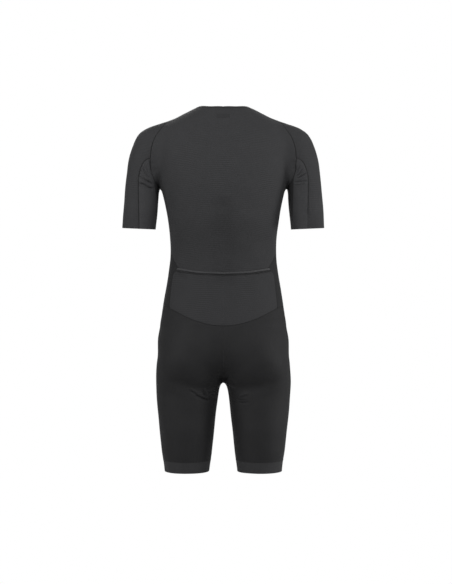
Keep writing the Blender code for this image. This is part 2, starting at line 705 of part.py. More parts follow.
def zip_hardware(s):
    """The slider on the tapes near the neck and its pull tab, which hangs from the bridge."""
    start = s["zip_middle"][0]
    seat = cast((0, 0, start[2] - SLIDER_DROP), (0, -1, 0), 0.0)
    normal = outward(seat[None])[0]
    place = bpy.data.objects.new("zip_place", None)
    place.location = seat
    place.rotation_euler = (-math.atan2(normal[2], -normal[1]), 0, 0)
    bpy.data.collections[COLLECTION].objects.link(place)

    width, length, rise = SLIDER_SIZE
    body = flat_piece(box_line(width, -length / 2, length / 2, SLIDER_CORNER), None, rise)
    body.transform(Matrix.Translation((0, -LAYER_GAP - rise / 2, 0)) @ Matrix.Rotation(math.pi / 2, 4, "X"))
    slider = named("zip_slider", body, "zip_metal_black", place)

    top = LAYER_GAP + rise
    axis = top + LAYER_GAP + PULL_THICKNESS / 2
    inside = PULL_THICKNESS / 2 + BRIDGE_PLAY
    window = [(-inside, -axis - inside), (inside, -axis - inside), (inside, -top), (-inside, -top)]
    outer = inside + BRIDGE_WALL
    arch = [(-outer, BRIDGE_SINK - top), (-outer, -axis - inside), (-inside, -axis - outer)]
    arch += [(inside, -axis - outer), (outer, -axis - inside), (outer, BRIDGE_SINK - top)]
    bridge = flat_piece(arch, window, BRIDGE_WIDTH)
    bridge.transform(Matrix(((0, 0, 1, 0), (0, 1, 0, 0), (1, 0, 0, 0), (0, 0, 0, 1))))
    bmesh.ops.recalc_face_normals(bridge, faces=bridge.faces[:])
    handle = named("zip_bridge", bridge, "zip_metal_black", place, CUTTERS)
    handle.hide_render = True
    handle.display_type = "WIRE"
    union = slider.modifiers.new("bridge", "BOOLEAN")
    union.operation, union.object = "UNION", handle

    bar_end = PULL_BAR / 2
    hole = box_line(PULL_WINDOW[0], -bar_end - PULL_WINDOW[1], -bar_end, 0.0004)
    plate = flat_piece(box_line(PULL_WIDTH, -PULL_LENGTH, bar_end, 0.0009), hole, PULL_THICKNESS)
    plate.transform(Matrix.Rotation(math.pi / 2, 4, "X"))
    pull = named("zip_pull", plate, "zip_metal_black", place)
    pull.location = (0, -axis, 0)


def clear_scene():
    """Removes what the file already held."""
    for thing in list(bpy.data.objects):
        bpy.data.objects.remove(thing, do_unlink=True)


def main():
    clear_scene()
    for name in (COLLECTION, CUTTERS):
        bpy.context.scene.collection.children.link(bpy.data.collections.new(name))
    seams = lay_seams()
    torso_panels(seams)
    sleeve_panels(seams)
    leg_panels(seams)
    zip_hardware(seams)


main()
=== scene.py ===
import math

import bpy
import numpy as np
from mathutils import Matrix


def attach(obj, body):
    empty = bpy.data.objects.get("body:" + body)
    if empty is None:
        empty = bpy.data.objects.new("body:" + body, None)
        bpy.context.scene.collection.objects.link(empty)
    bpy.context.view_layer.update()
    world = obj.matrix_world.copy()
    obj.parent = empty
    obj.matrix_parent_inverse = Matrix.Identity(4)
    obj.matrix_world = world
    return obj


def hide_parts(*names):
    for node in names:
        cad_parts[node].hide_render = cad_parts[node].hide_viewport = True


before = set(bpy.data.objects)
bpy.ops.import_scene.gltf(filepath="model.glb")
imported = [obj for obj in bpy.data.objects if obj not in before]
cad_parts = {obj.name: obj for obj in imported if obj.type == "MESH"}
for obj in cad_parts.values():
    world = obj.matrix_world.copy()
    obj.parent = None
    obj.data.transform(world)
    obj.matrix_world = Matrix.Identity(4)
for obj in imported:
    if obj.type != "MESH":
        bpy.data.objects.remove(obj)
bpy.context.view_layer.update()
print("frame loaded")

# The studio: a pale floor, a white surround and soft lights.
studio = {
    "camera": (-0.0068, 3.3, -0.473),
    "lens": 79.6,
    "floorHeight": -1.48,  # where a wearer's feet would stand
    "floorReach": 60.0,
    "floorTone": 0.42,
    "surroundLight": 0.20,
    # name, place, aimed at, size, watts
    "lights": (
        ("key", (-2.1, 2.6, 1.2), (0.0, 0.0, -0.4), 1.2, 43),
        ("fill", (1.9, 2.7, 1.2), (0.0, 0.0, -0.4), 1.2, 52),
        ("rightRim", (-2.8, 0.15, -0.5), (0.0, 0.0, -0.6), 1.0, 26),
        ("leftRim", (2.8, 0.8, -0.3), (0.0, 0.0, -0.4), 1.0, 10),
        ("frontFill", (0.6, -3.0, 1.2), (0.0, 0.0, -0.4), 2.2, 42),
    ),
}


class Wire:
    # One output of a shader node. Arithmetic on it adds Math nodes.
    def __init__(self, finish, socket):
        self.finish, self.socket = finish, socket

    def math(self, operation, first, second=0.0):
        return self.finish.node("Math", {"operation": operation}, {0: first, 1: second})

    def __add__(self, other):
        return self.math("ADD", self, other)

    def __radd__(self, other):
        return self.math("ADD", other, self)

    def __sub__(self, other):
        return self.math("SUBTRACT", self, other)

    def __rsub__(self, other):
        return self.math("SUBTRACT", other, self)

    def __mul__(self, other):
        return self.math("MULTIPLY", self, other)

    def __rmul__(self, other):
        return self.math("MULTIPLY", other, self)

    def __truediv__(self, other):
        return self.math("DIVIDE", self, other)

    def sine(self):
        return self.math("SINE", self)

    def absolute(self):
        return self.math("ABSOLUTE", self)

    def limited(self):
        return self.finish.node("Clamp", {}, {"Value": self})


class Finish:
    # A material, and the one way its nodes are made.
    def __init__(self, name):
        self.material = bpy.data.materials.new(name)
        self.material.use_nodes = True
        self.tree = self.material.node_tree
        self.tree.nodes.clear()

    def node(self, kind, settings, sockets, output=0):
        made = self.tree.nodes.new(f"ShaderNode{kind}")
        for key, value in settings.items():
            setattr(made, key, value)
        for key, value in sockets.items():
            if isinstance(value, Wire):
                self.tree.links.new(value.socket, made.inputs[key])
            else:
                made.inputs[key].default_value = value
        return Wire(self, made.outputs[output] if made.outputs else None)

    def blendColours(self, share, first, second):
        first, second = (side if isinstance(side, Wire) else (*side, 1) for side in (first, second))
        return self.node("Mix", {"data_type": "RGBA"}, {0: share, 6: first, 7: second}, 2)

    def axis(self, wire, number):
        return self.node("SeparateXYZ", {}, {0: wire}, number)

    def noise(self, spot, scale, detail, roughness=0.5):
        sockets = {"Vector": spot, "Scale": scale, "Detail": detail, "Roughness": roughness}
        return self.node("TexNoise", {}, sockets)

    def surface(self, sockets):
        shader = self.node("BsdfPrincipled", {}, sockets)
        self.node("OutputMaterial", {}, {"Surface": shader})
        return self.material


def makeStudio():
    scene = bpy.context.scene
    scene.view_settings.view_transform = "Standard"
    camera = bpy.data.objects.new("camera", bpy.data.cameras.new("camera"))
    camera.data.lens = studio["lens"]
    camera.location = studio["camera"]
    camera.rotation_euler = (math.pi / 2, 0, math.pi)
    scene.collection.objects.link(camera)
    scene.camera = camera

    reach = studio["floorReach"]
    floorMesh = bpy.data.meshes.new("floor")
    turns = (-1, -1), (1, -1), (1, 1), (-1, 1)
    corners = [(x * reach, y * reach, studio["floorHeight"]) for x, y in turns]
    floorMesh.from_pydata(corners, [], [(0, 1, 2, 3)])
    floor = bpy.data.objects.new("floor", floorMesh)
    scene.collection.objects.link(floor)
    pale = Finish("paleFloor")
    seen = pale.node("LightPath", {}, {})
    matte = pale.node("BsdfDiffuse", {}, {"Color": (*[studio["floorTone"]] * 3, 1)})
    white = pale.node("Emission", {}, {"Strength": 1.0})
    shown = pale.node("MixShader", {}, {0: seen, 1: matte, 2: white})
    pale.node("OutputMaterial", {}, {"Surface": shown})
    floorMesh.materials.append(pale.material)

    # white where it is seen, and dimmer where it lights the suit
    scene.world = bpy.data.worlds.new("surround")
    scene.world.use_nodes = True
    nodes, links = scene.world.node_tree.nodes, scene.world.node_tree.links
    background = nodes["Background"]
    background.inputs["Color"].default_value = (1, 1, 1, 1)
    path = nodes.new("ShaderNodeLightPath")
    strength = nodes.new("ShaderNodeMapRange")
    strength.inputs["To Min"].default_value = studio["surroundLight"]
    strength.inputs["To Max"].default_value = 1.0
    links.new(path.outputs["Is Camera Ray"], strength.inputs["Value"])
    links.new(strength.outputs["Result"], background.inputs["Strength"])

    for name, place, target, size, watts in studio["lights"]:
        light = bpy.data.lights.new(name, "AREA")
        light.shape, light.size, light.energy = "DISK", size, watts
        lamp = bpy.data.objects.new(name, light)
        lamp.location = place
        aim = [there - here for there, here in zip(target, place)]
        turn = math.atan2(aim[0], -aim[1])
        tilt = math.atan2(math.hypot(aim[0], aim[1]), -aim[2])
        lamp.rotation_euler = (tilt, 0, turn + math.pi)
        scene.collection.objects.link(lamp)
    print("studio ready")


# The figure that the cloth lies on. Each row is one level section, in millimetres: its height, its
# two sides across (on the torso, half its width), its reach to the back and to the front, and its
# roundness (2 is an ellipse, more is squarer).
figureTables = {"torso": (
    (14, 56, 55, -46, 2),
    (0, 59, 59, -50, 2),
    (-8, 78, 64, -53, 1.8),
    (-18, 97.5, 70, -57, 1.75),
    (-28, 116.5, 75, -62, 1.75),
    (-38, 134.5, 79, -66, 1.8),
    (-54, 156, 85, -73, 1.9),
    (-75, 171, 91, -83, 2.1),
    (-100, 173, 98, -94, 2.2),
    (-135, 172, 105, -103, 2.3),
    (-170, 167, 109, -109, 2.3),
    (-207, 158.5, 109, -112, 2.3),
    (-238, 151.3, 106, -112, 2.25),
    (-268, 145.7, 101, -110, 2.2),
    (-299, 140.7, 96, -108, 2.2),
    (-330, 136.9, 90, -106, 2.2),
    (-362, 135.2, 85, -104, 2.2),
    (-391, 136, 84, -103, 2.2),
    (-422, 139.9, 85, -102, 2.2),
    (-468, 147.4, 92, -102, 2.2),
    (-514, 154.5, 103, -101, 2.25),
    (-560, 160.2, 112, -99, 2.3),
    (-600, 160, 115, -96, 2.3),
    (-630, 148, 109, -90, 2.2),
    (-655, 128, 93, -80, 2),
    (-675, 88, 68, -60, 2),
    (-690, 40, 34, -30, 2),
), "arm": (
    (-46, 144, 174, 14, -14, 2),
    (-54, 140, 192, 25, -25, 2),
    (-64, 137, 208.5, 34, -33, 2),
    (-84, 140, 224.5, 45, -43, 2),
    (-100, 143, 231.2, 50, -47, 2),
    (-135, 148, 241.5, 54, -51, 2),
    (-175, 156, 247, 54, -52, 2.2),
    (-207, 164, 250.3, 52, -51, 2.4),
    (-238, 166.2, 253, 50, -50, 2.4),
    (-268, 168.3, 255.3, 50, -49, 2.4),
    (-299, 171.4, 257.3, 49, -48, 2.3),
    (-360, 176.5, 261, 47, -46, 2.2),
), "leg": (
    (-560, 30, 138, 96, -80, 2),
    (-590, 8, 154, 111, -86, 2.1),
    (-621, 2, 163.5, 119, -88, 2.2),
    (-645, 1, 168, 120, -87, 2.2),
    (-670, 2, 170.2, 114, -85, 2.2),
    (-698, 5.5, 171.4, 101, -84, 2.2),
    (-728, 11.5, 170.6, 91, -84, 2.15),
    (-759, 15.7, 168.6, 89, -82, 2.1),
    (-790, 19.3, 166, 88, -80, 2.1),
    (-820, 22.7, 163.1, 88, -77, 2.1),
    (-851, 25.7, 159.5, 84, -73, 2.1),
    (-882, 29.3, 155.9, 79, -67, 2.1),
    (-912, 33.7, 151.1, 73, -61, 2.1),
    (-940, 37, 148, 68, -58, 2.1),
)}


def sectionsOf(name):
    # The rows of one table in metres, with both sides of the torso.
    rows = [(row[0], -row[1], *row[1:]) if name == "torso" else row for row in figureTables[name]]
    return np.array(rows, float) / (1000, 1000, 1000, 1000, 1000, 1)


figureSections = {name: sectionsOf(name) for name in figureTables}
figureBlends = {  # how softly the limbs and their ends run into each other, in metres
    "armHeights": (-0.220, -0.190, -0.130, -0.060),
    "armReaches": (0.014, 0.018, 0.032, 0.036),
    "legs": 0.018,
    "seat": 0.030,
    "cap": 0.020,
    "armCap": -0.002,
}
suit = {
    "wall": 0.0011,  # of the cloth
    "seamGap": 0.0003,
    "layerGap": 0.0003,
    "bindingWall": 0.0018,
    "hem": -0.929,
    "legBand": 0.030,
    "cuff": -0.316,
    "cuffRise": 0.004,
    "cuffFrontRise": 0.005,
    "armCentre": (0.2153, 0.0),
    "legCentre": (0.0925, 0.006),
    "cuffCells": 12,
    "hemCells": (13, 14),  # behind and in front
    "armpitCells": 3,  # of the armpit's front seam, that the side panel takes
    "refine": 8,
    "relaxSteps": 40,
    "polishSteps": 6,
}


def unit(vectors):
    return vectors / np.linalg.norm(vectors, axis=-1, keepdims=True)


def runAlong(line):
    # The distance along a line at each of its points.
    return np.concatenate([[0], np.cumsum(np.linalg.norm(np.diff(line, axis=0), axis=1))])


def readAt(at, run, values):
    return np.stack([np.interp(at, run, values[:, k]) for k in range(3)], axis=1)


def alongTable(table, heights):
    rows = table[::-1]
    keys, values = rows[:, 0], rows[:, 1:]
    slopes = np.gradient(values, keys, axis=0)
    i = np.clip(np.searchsorted(keys, heights) - 1, 0, len(keys) - 2)
    span = keys[i + 1] - keys[i]
    t = np.clip((heights - keys[i]) / span, 0, 1)[:, None]
    span = span[:, None]
    start = (1 + 2 * t) * (1 - t) ** 2 * values[i] + t * (1 - t) ** 2 * span * slopes[i]
    end = t**2 * (3 - 2 * t) * values[i + 1] - t**2 * (1 - t) * span * slopes[i + 1]
    return start + end


def tube(points, sections, flipped=False):
    inner, outer, back, front, roundness = sections
    across = (-points[:, 0] if flipped else points[:, 0]) - (inner + outer) / 2
    deep = points[:, 1] - (back + front) / 2
    share = (np.abs(across) * 2 / (outer - inner)) ** roundness
    share += (np.abs(deep) * 2 / (back - front)) ** roundness
    reach = np.maximum(share, 1e-12) ** (1 / roundness)
    return np.hypot(across, deep) * (1 - 1 / reach)


def joined(a, b, blend):
    soft = np.maximum(blend - np.abs(a - b), 0) / blend
    return np.minimum(a, b) - soft**2 * blend / 4


def cutOff(field, beyond, blend):
    return -joined(-field, -beyond, blend)


def figure(points):
    # About how far each point is outside the figure, negative inside it.
    height, cap = points[:, 2], figureBlends["cap"]
    torso, arm, leg = (alongTable(figureSections[name], height).T for name in ("torso", "arm", "leg"))
    armTop, armFoot = figureSections["arm"][[0, -1], 0]
    body = cutOff(tube(points, torso), figureSections["torso"][-1, 0] - height, cap)
    blend = np.interp(height, figureBlends["armHeights"], figureBlends["armReaches"])
    for flipped in (False, True):
        limb = cutOff(tube(points, arm, flipped), height - armTop - figureBlends["armCap"], cap / 2)
        body = joined(body, cutOff(limb, armFoot - height, cap / 2), blend)
    legs = joined(tube(points, leg), tube(points, leg, True), figureBlends["legs"])
    legs = cutOff(legs, height - figureSections["leg"][0, 0], cap)
    return joined(body, legs, figureBlends["seat"])


def outward(points):
    step = 5e-5
    slopes = [figure(points + step * axis) - figure(points - step * axis) for axis in np.eye(3)]
    return np.stack(slopes, axis=1) / (2 * step)


def normalsAt(points):
    return unit(outward(points.reshape(-1, 3))).reshape(points.shape)


def settled(points, depth=suit["wall"] / 2, rounds=5):
    flat = np.array(points, float).reshape(-1, 3)
    for _ in range(rounds):
        slope = outward(flat)
        flat -= ((figure(flat) + depth) / (slope**2).sum(1))[:, None] * slope
    return flat.reshape(np.shape(points))


def cast(origin, direction, depth=suit["wall"] / 2):
    # Where a straight line from inside the figure comes out through the cloth.
    origin, direction = np.array(origin, float), np.array(direction, float)
    reach = np.linspace(0, 0.32, 161)
    field = figure(origin + reach[:, None] * direction) + depth
    first = int(np.argmax(field > 0))
    low, high = reach[max(first - 1, 0)], reach[first]
    for _ in range(24):
        middle = (low + high) / 2
        if figure((origin + middle * direction)[None])[0] + depth > 0:
            high = middle
        else:
            low = middle
    return origin + high * direction


def onSkin(view, first, second):
    # A point of the cloth, from the side of the figure that it lies on and its two places there in
    # millimetres. On the neck the first place is the turn from the back, in degrees.
    turn = math.radians(first)
    first, second = first / 1000, second / 1000
    origin, direction = {
        "back": ((first, 0, second), (0, 1, 0)),
        "front": ((first, 0, second), (0, -1, 0)),
        "side": ((0.09, first, second), (1, 0, 0)),
        "inner": ((0.09, first, second), (-1, 0, 0)),
        "top": ((first, second, -0.1), (0, 0, 1)),
        "under": ((first, second, -0.65 if first == 0 else -0.15), (0, 0, -1)),
        "neck": ((0, 0.004, second), (math.sin(turn), math.cos(turn), 0)),
    }[view]
    return cast(origin, direction)


def smoothLine(points, cells):
    # Evenly spaced points on a smooth curve through these, with their ends kept.
    points = np.array(points, float)
    chords = np.linalg.norm(np.diff(points, axis=0), axis=1) ** 0.5
    keys = np.concatenate([[0], np.cumsum(chords)])
    table = np.column_stack([keys, points])[::-1]
    dense = alongTable(table, np.linspace(0, keys[-1], 40 * cells + 1))
    length = runAlong(dense)
    at = np.linspace(0, length[-1], cells + 1)
    return readAt(at, length, dense)


def mirrored(points):
    return points * (-1, 1, 1)


sides = {"left": lambda points: points, "right": mirrored}


def chain(*lines):
    return np.concatenate([lines[0]] + [line[1:] for line in lines[1:]])


def bothSides(half):
    return chain(mirrored(half)[::-1], half)


def spanned(top, bottom, left, right):
    # A grid of points blended straight between its four edges.
    v = np.linspace(0, 1, len(left))[:, None, None]
    u = np.linspace(0, 1, len(top))[None, :, None]
    grid = (1 - v) * top[None] + v * bottom[None] + (1 - u) * left[:, None] + u * right[:, None]
    grid -= (1 - v) * ((1 - u) * top[0] + u * top[-1]) + v * ((1 - u) * bottom[0] + u * bottom[-1])
    grid[0], grid[-1], grid[:, 0], grid[:, -1] = top, bottom, left, right
    return grid


def relaxed(grid, steps):
    if min(grid.shape[:2]) < 3:
        return grid
    for _ in range(steps):
        middle = (grid[:-2, 1:-1] + grid[2:, 1:-1] + grid[1:-1, :-2] + grid[1:-1, 2:]) / 4
        grid[1:-1, 1:-1] = settled(middle, rounds=1)
    grid[1:-1, 1:-1] = settled(grid[1:-1, 1:-1], rounds=3)
    return grid


def spread(coarse, times):
    # A coarse grid of values read at every place of the fine one.
    def weights(count):
        at = np.linspace(0, count - 1, (count - 1) * times + 1)
        low = np.minimum(at.astype(int), count - 2)
        return low, at - low

    row, down = weights(coarse.shape[0])
    column, over = weights(coarse.shape[1])
    down, over = down[:, None, None], over[None, :, None]
    rows = coarse[row] * (1 - down) + coarse[row + 1] * down
    return rows[:, column] * (1 - over) + rows[:, column + 1] * over


def net(top, bottom, left, right):
    # The panel between four seams: relaxed on a coarse net, then refined and polished.
    times = suit["refine"]
    edges = [line[::times] for line in (top, bottom, left, right)]
    start = spanned(*edges)
    moved = relaxed(start.copy(), suit["relaxSteps"]) - start
    return relaxed(spanned(top, bottom, left, right) + spread(moved, times), suit["polishSteps"])


# Seams of the wearer's left side: the cells of the coarse net along each, then its points on each
# side of the figure, in millimetres.
seamTables = {
    "armholeBack": (
        6,
        ("top", (137, -3)), ("back", (155.9, -58), (172.7, -84), (180.5, -108), (183.8, -137)),
    ),
    "armpitBack": (
        6,
        ("back", (183.8, -137), (182.5, -153.5), (179.5, -174.5), (172.9, -192.5)), ("under", (162.5, 0)),
    ),
    "armpitFront": (
        6,
        ("under", (162.5, 0)), ("front", (170, -192.5), (174.5, -174.5), (176.5, -153.5), (177, -137)),
    ),
    "armholeFront": (
        6, ("front", (177, -137), (174.5, -108), (167.5, -84), (153, -58)), ("top", (137, -3)),
    ),
    "gussetBack": (
        15,
        ("back", (183.8, -137), (190.6, -138.5), (200.9, -147), (208.9, -164.7), (213.1, -182)),
        ("back", (214, -205), (213.3, -255), (212.3, -309)),
    ),
    "gussetFront": (
        15,
        ("front", (177, -137), (186, -140), (198, -150), (207, -168), (211.5, -186)),
        ("front", (213, -208), (213, -255), (212.3, -309)),
    ),
    "neckBack": (8, ("neck", (0, -13.5), (35, -11.5), (68, -8), (96, -5))),
    "neckFront": (8, ("neck", (96, -5), (115, -17), (135, -37), (156, -57)), ("front", (8, -65))),
    "bindingBack": (8, ("neck", (0, -8), (35, -6), (68, -2.5), (96, 0.5))),
    "bindingFront": (
        8, ("neck", (96, 0.5), (115, -11.5), (135, -31.5), (156, -51.5)), ("front", (8, -59.5)),
    ),
    "shoulder": (4, ("neck", (96, -5)), ("top", (100, -4), (137, -3))),
    "sideBack": (6, ("under", (162.5, 0)), ("side", (-1, -235), (-3, -290), (0, -362))),
    "sideWedge": (3, ("side", (0, -362)), ("back", (127, -388), (112.5, -413))),
    "bindingEnd": (1, ("back", (112.5, -413), (117.5, -420))),
    "pocketSide": (4, ("back", (117.5, -420), (124.5, -428), (130.5, -470), (134, -513))),
    "sideFront": (14, ("side", (-48, -250), (-50, -300), (-46, -362), (-40, -420), (-36, -510))),
    "pocketMouth": (12, ("back", (0, -424), (60, -421.5), (112.5, -413))),
    "pocketTop": (12, ("back", (0, -431), (62, -428.5), (117.5, -420))),
    "pocketFoot": (12, ("back", (0, -557), (34.8, -553.2), (81.5, -539), (134, -513))),
    "sideFootBack": (1, ("back", (134, -513)), ("side", (38, -510))),
    "sideFootFront": (2, ("side", (38, -510), (0, -509), (-36, -510))),
    "frontFoot": (12, ("side", (-36, -510)), ("front", (110, -513), (55, -519), (8, -521))),
    "zipEdge": (23, ("front", (8, -65), (8, -200), (8, -360), (8, -521))),
    "zipMiddle": (23, ("front", (0, -65.5), (0, -200), (0, -360), (0, -521))),
    "seat": (8, ("back", (0, -557), (0, -610), (0, -650)), ("under", (0, 60), (0, 4))),
    "fly": (8, ("front", (0, -521), (0, -570), (0, -620)), ("under", (0, -50), (0, 4))),
    "inseam": (10, ("under", (0, 4)), ("inner", (4, -730), (4, -820), (3, -899))),
    "outseam": (
        18,
        ("side", (38, -510), (38, -560), (34, -600), (20, -645), (6, -680)),
        ("side", (0, -730), (0, -820), (2, -899)),
    ),
}


# Creases on the back and on the front, in millimetres. A row is half the width of one, its depth (a
# ridge where negative), how high the cloth is pushed up on its one side, and the points it runs
# through.
creases = {"back": (
    # the wearer's left gusset: five folds sweep down to the armpit
    (2.1, 2.1, 1.5, (209.5, -160), (205.2, -174.5), (198.9, -185), (190, -193.5)),
    (2, 1.8, 1.2, (204.4, -154.5), (199.5, -167.5), (193.8, -179), (185.5, -189)),
    (2, 2.2, 1.5, (212.5, -170), (206, -181.5), (196, -190.5), (181.5, -197.5)),
    (2.3, 2.7, 2.1, (212.8, -180), (205.7, -187.4), (194.6, -194.2), (177.6, -202.7)),
    (2.6, 3.2, 2.4, (211.8, -201), (199.3, -203.5), (190, -210.1), (176.1, -213.8)),
    (1.8, 1.3, 0.9, (195.1, -150), (192, -160.6), (186.5, -171.5), (180.5, -180)),
    (1.8, 1.2, 0.9, (190, -152.3), (187.2, -162.4), (180.6, -170.7)),
    (2.1, 2.1, 1, (212.8, -193.9), (211.6, -204.9), (207.6, -210.5)),
    # beside that armpit, on the back
    (2, 2.2, 0, (185, -139), (183.8, -154.3), (179.9, -171), (175.7, -184)),
    (2.6, 1.5, -1, (181.8, -143.6), (179.7, -154.7), (175.3, -165.7), (171.7, -176.7)),
    (3, -0.9, 0, (173.5, -152.8), (170.5, -165.7), (169.4, -178.6)),
    # the right gusset: a fan of four and a level one
    (1.8, 2, 1, (-192.4, -155), (-188.1, -167), (-180.7, -180)),
    (1.8, 2.3, 1.2, (-202.5, -160.6), (-194.8, -173.5), (-182.2, -184.6)),
    (1.9, 2.5, 1.4, (-209.9, -173.5), (-198.8, -181.8), (-184.4, -187.9)),
    (2, 2.3, 1.6, (-210, -193.8), (-193.3, -196.4), (-177, -197)),
    (1.8, 1.4, 0.7, (-184.4, -155), (-183.3, -166.1), (-180, -175.4)),
    (2.1, 1.6, -0.9, (-176.2, -139.9), (-175.8, -154.7), (-176.2, -169.4)),
    # near the right cuff, where the gusset seam ends
    (5, 0.9, 0.4, (-204.4, -266), (-215.5, -280.8), (-219.2, -283.5)),
    (2.5, -0.6, 0, (-209.9, -294.6), (-208.1, -305.7)),
    # the left inner thigh: creases curl under the seat
    (2.4, 2.3, 1.6, (88, -717), (71, -726.2), (53.7, -736.1), (34.6, -743.8), (17.5, -740.7)),
    (2.3, 2.6, 1.4, (72, -730), (49.9, -740.5), (34, -745)),
    (2.5, 3.1, 1.8, (49.1, -715.9), (45.3, -729.3), (34.6, -739.2), (19.4, -737.7)),
    (1.9, 2.1, 1, (41.6, -722), (38.5, -731.6), (26.3, -735.4)),
    (1.9, 2, 1, (38.6, -716.7), (26.3, -714.8), (13.7, -707.9)),
    (1.8, 1.8, 0.9, (36.7, -726.3), (23.3, -724), (13.3, -719.4)),
    (1.8, 1.6, 0.9, (32.8, -732), (20.2, -730.1), (12.6, -725.5)),
    # the right inner thigh: short level ones
    (2.1, 2.3, 1.2, (-27.1, -747.6), (-47.3, -749.5), (-67.5, -747.2)),
    (1.8, 1.6, 0.9, (-34, -742.5), (-50, -744), (-64, -741.5)),
    (2.6, -2, 0, (-37, -737.7), (-48.5, -730), (-65.2, -723.2)),
    (2.1, -2.1, 0, (-13.1, -705.2), (-22.6, -712.9), (-32.6, -717.8)),
    # under each side of the seat
    (15, 5, 0, (16, -704), (45, -714), (80, -711), (115, -699), (140, -685)),
    (15, 4.8, 0, (-16, -703), (-45, -712), (-80, -711), (-115, -700), (-140, -687)),
    # puckers below the pocket's binding and a hollow at its left end
    (1.9, 1.1, 0.6, (-49, -429.7), (-54.4, -433.9), (-60, -435.2)),
    (2, 1.4, 0.7, (-82.2, -427.3), (-90.2, -430.2), (-97.5, -432.3)),
    (1.9, 1.1, 0.6, (-91.5, -427.5), (-98.8, -429.7), (-103.4, -431.8)),
    (2, 0.9, 0.5, (-77.6, -428), (-84.2, -432), (-90.8, -435), (-98, -436.5)),
    (8, 1.8, 0, (113, -429), (102, -437), (88, -440)),
    # shallow ones on the upper back
    (8, 0.5, 0, (119.6, -105), (115.1, -116.3), (110, -126)),
    (14, 0.5, 0, (-30, -130), (-48, -148), (-60, -170)),
    # the hollow of the spine
    (25, 5, 0, (0, -230), (0, -270), (0, -350), (0, -430), (0, -510)),
), "front": (
    # the front of each sleeve and armpit
    (2.8, 1.9, 1.2, (209, -160), (201, -173), (190, -183), (179, -190)),
    (2.6, 1.6, 1, (211, -179), (202, -188), (192, -194), (178, -199)),
    (3, 2.2, 1.4, (209, -201), (199, -205), (188, -209), (176, -211)),
    (3.2, 1.6, 0.8, (170, -172), (158, -160), (142, -152), (122, -148)),
    (3.6, 1.4, 0.7, (166, -190), (150, -183), (130, -180)),
    (2.4, 1.4, 0.8, (-206, -156), (-198, -170), (-185, -184)),
    (2.6, 1.7, 1, (-211, -173), (-200, -185), (-183, -193)),
    (2.8, 1.6, 1, (-210, -198), (-195, -201), (-178, -202)),
    (3.2, 1.5, 0.8, (-170, -175), (-156, -164), (-138, -156), (-118, -153)),
    # across the front's waist, beside the zip
    (4.5, 1.1, 0.5, (12, -332), (40, -336), (76, -331)),
    (4, 0.9, 0.4, (-12, -354), (-42, -359), (-70, -356)),
    (5, 1, 0.4, (12, -396), (36, -401), (62, -399)),
    # where the thighs meet the trunk in front
    (5, 2, 1.1, (136, -590), (105, -618), (70, -644), (33, -666)),
    (4.2, 1.7, 0.9, (-132, -595), (-102, -623), (-66, -649), (-32, -668)),
    (3.2, 1.4, 0.7, (82, -656), (56, -672), (25, -685)),
    (3, 1.3, 0.7, (-76, -663), (-50, -679), (-24, -688)),
    (2.6, 1.2, 0.7, (56, -702), (36, -710), (17, -713)),
    (2.6, 1.1, 0.6, (-60, -708), (-40, -716), (-18, -720)),
)}
slack = {  # broad, faint unevenness of the cloth: height in metres, then waves for each metre
    "height": 0.00022,
    "waves": ((31, 23, 17), (57, -41, 36), (-83, 64, 71)),
}


# Half the width and the depth that the cloth is drawn in along a seam, in millimetres.
seamDips = {
    "armholeBack": (3, 0.6), "armpitBack": (3, 0.6), "armpitFront": (3, 0.6), "armholeFront": (3, 0.6),
    "gussetBack": (2.6, 0.6), "gussetFront": (2.6, 0.6), "sideBack": (2.6, 0.5), "sideWedge": (2.6, 0.5),
    "pocketSide": (2.4, 0.4), "sideFront": (2.6, 0.5), "pocketFoot": (3.2, 0.7),
    "sideFootBack": (2.6, 0.5), "sideFootFront": (2.6, 0.5), "frontFoot": (2.6, 0.5),
    "seat": (3.6, 0.4), "fly": (2.6, 0.5), "inseam": (2.6, 0.5), "outseam": (2.6, 0.5),
}
creaseShape = {
    "reach": 3.6,  # where a crease stops counting; this and the next two for each half width
    "bankPlace": 1.9,
    "bankWidth": 1.1,
    "fadeIn": 0.12,  # the share of its length over which it starts
    "fadeOut": 0.28,
    "step": 0.0015,
}


def readied(line, half, depth, bank):
    # A crease as its line on the cloth, the way across it at each point, and its fading ends.
    line = settled(line)
    share = np.linspace(0, 1, len(line))
    fade = np.clip(np.minimum(share / creaseShape["fadeIn"], (1 - share) / creaseShape["fadeOut"]), 0, 1)
    return {
        "line": line, "across": unit(np.cross(normalsAt(line), np.gradient(line, axis=0))),
        "fade": fade**2 * (3 - 2 * fade), "half": half / 1000, "depth": depth / 1000, "bank": bank / 1000,
    }


def layCreases(seams):
    laid = []
    for view, rows in creases.items():
        for half, depth, bank, *places in rows:
            points = [onSkin(view, *place) for place in places]
            count = max(12, int(runAlong(points)[-1] / creaseShape["step"]))
            laid.append(readied(smoothLine(points, count), half, depth, bank))
    for name, (half, depth) in seamDips.items():
        for flip in sides.values():
            dip = readied(flip(seams[name]), half, depth, 0)
            dip["fade"] = np.ones(len(dip["line"]))
            laid.append(dip)
    return laid


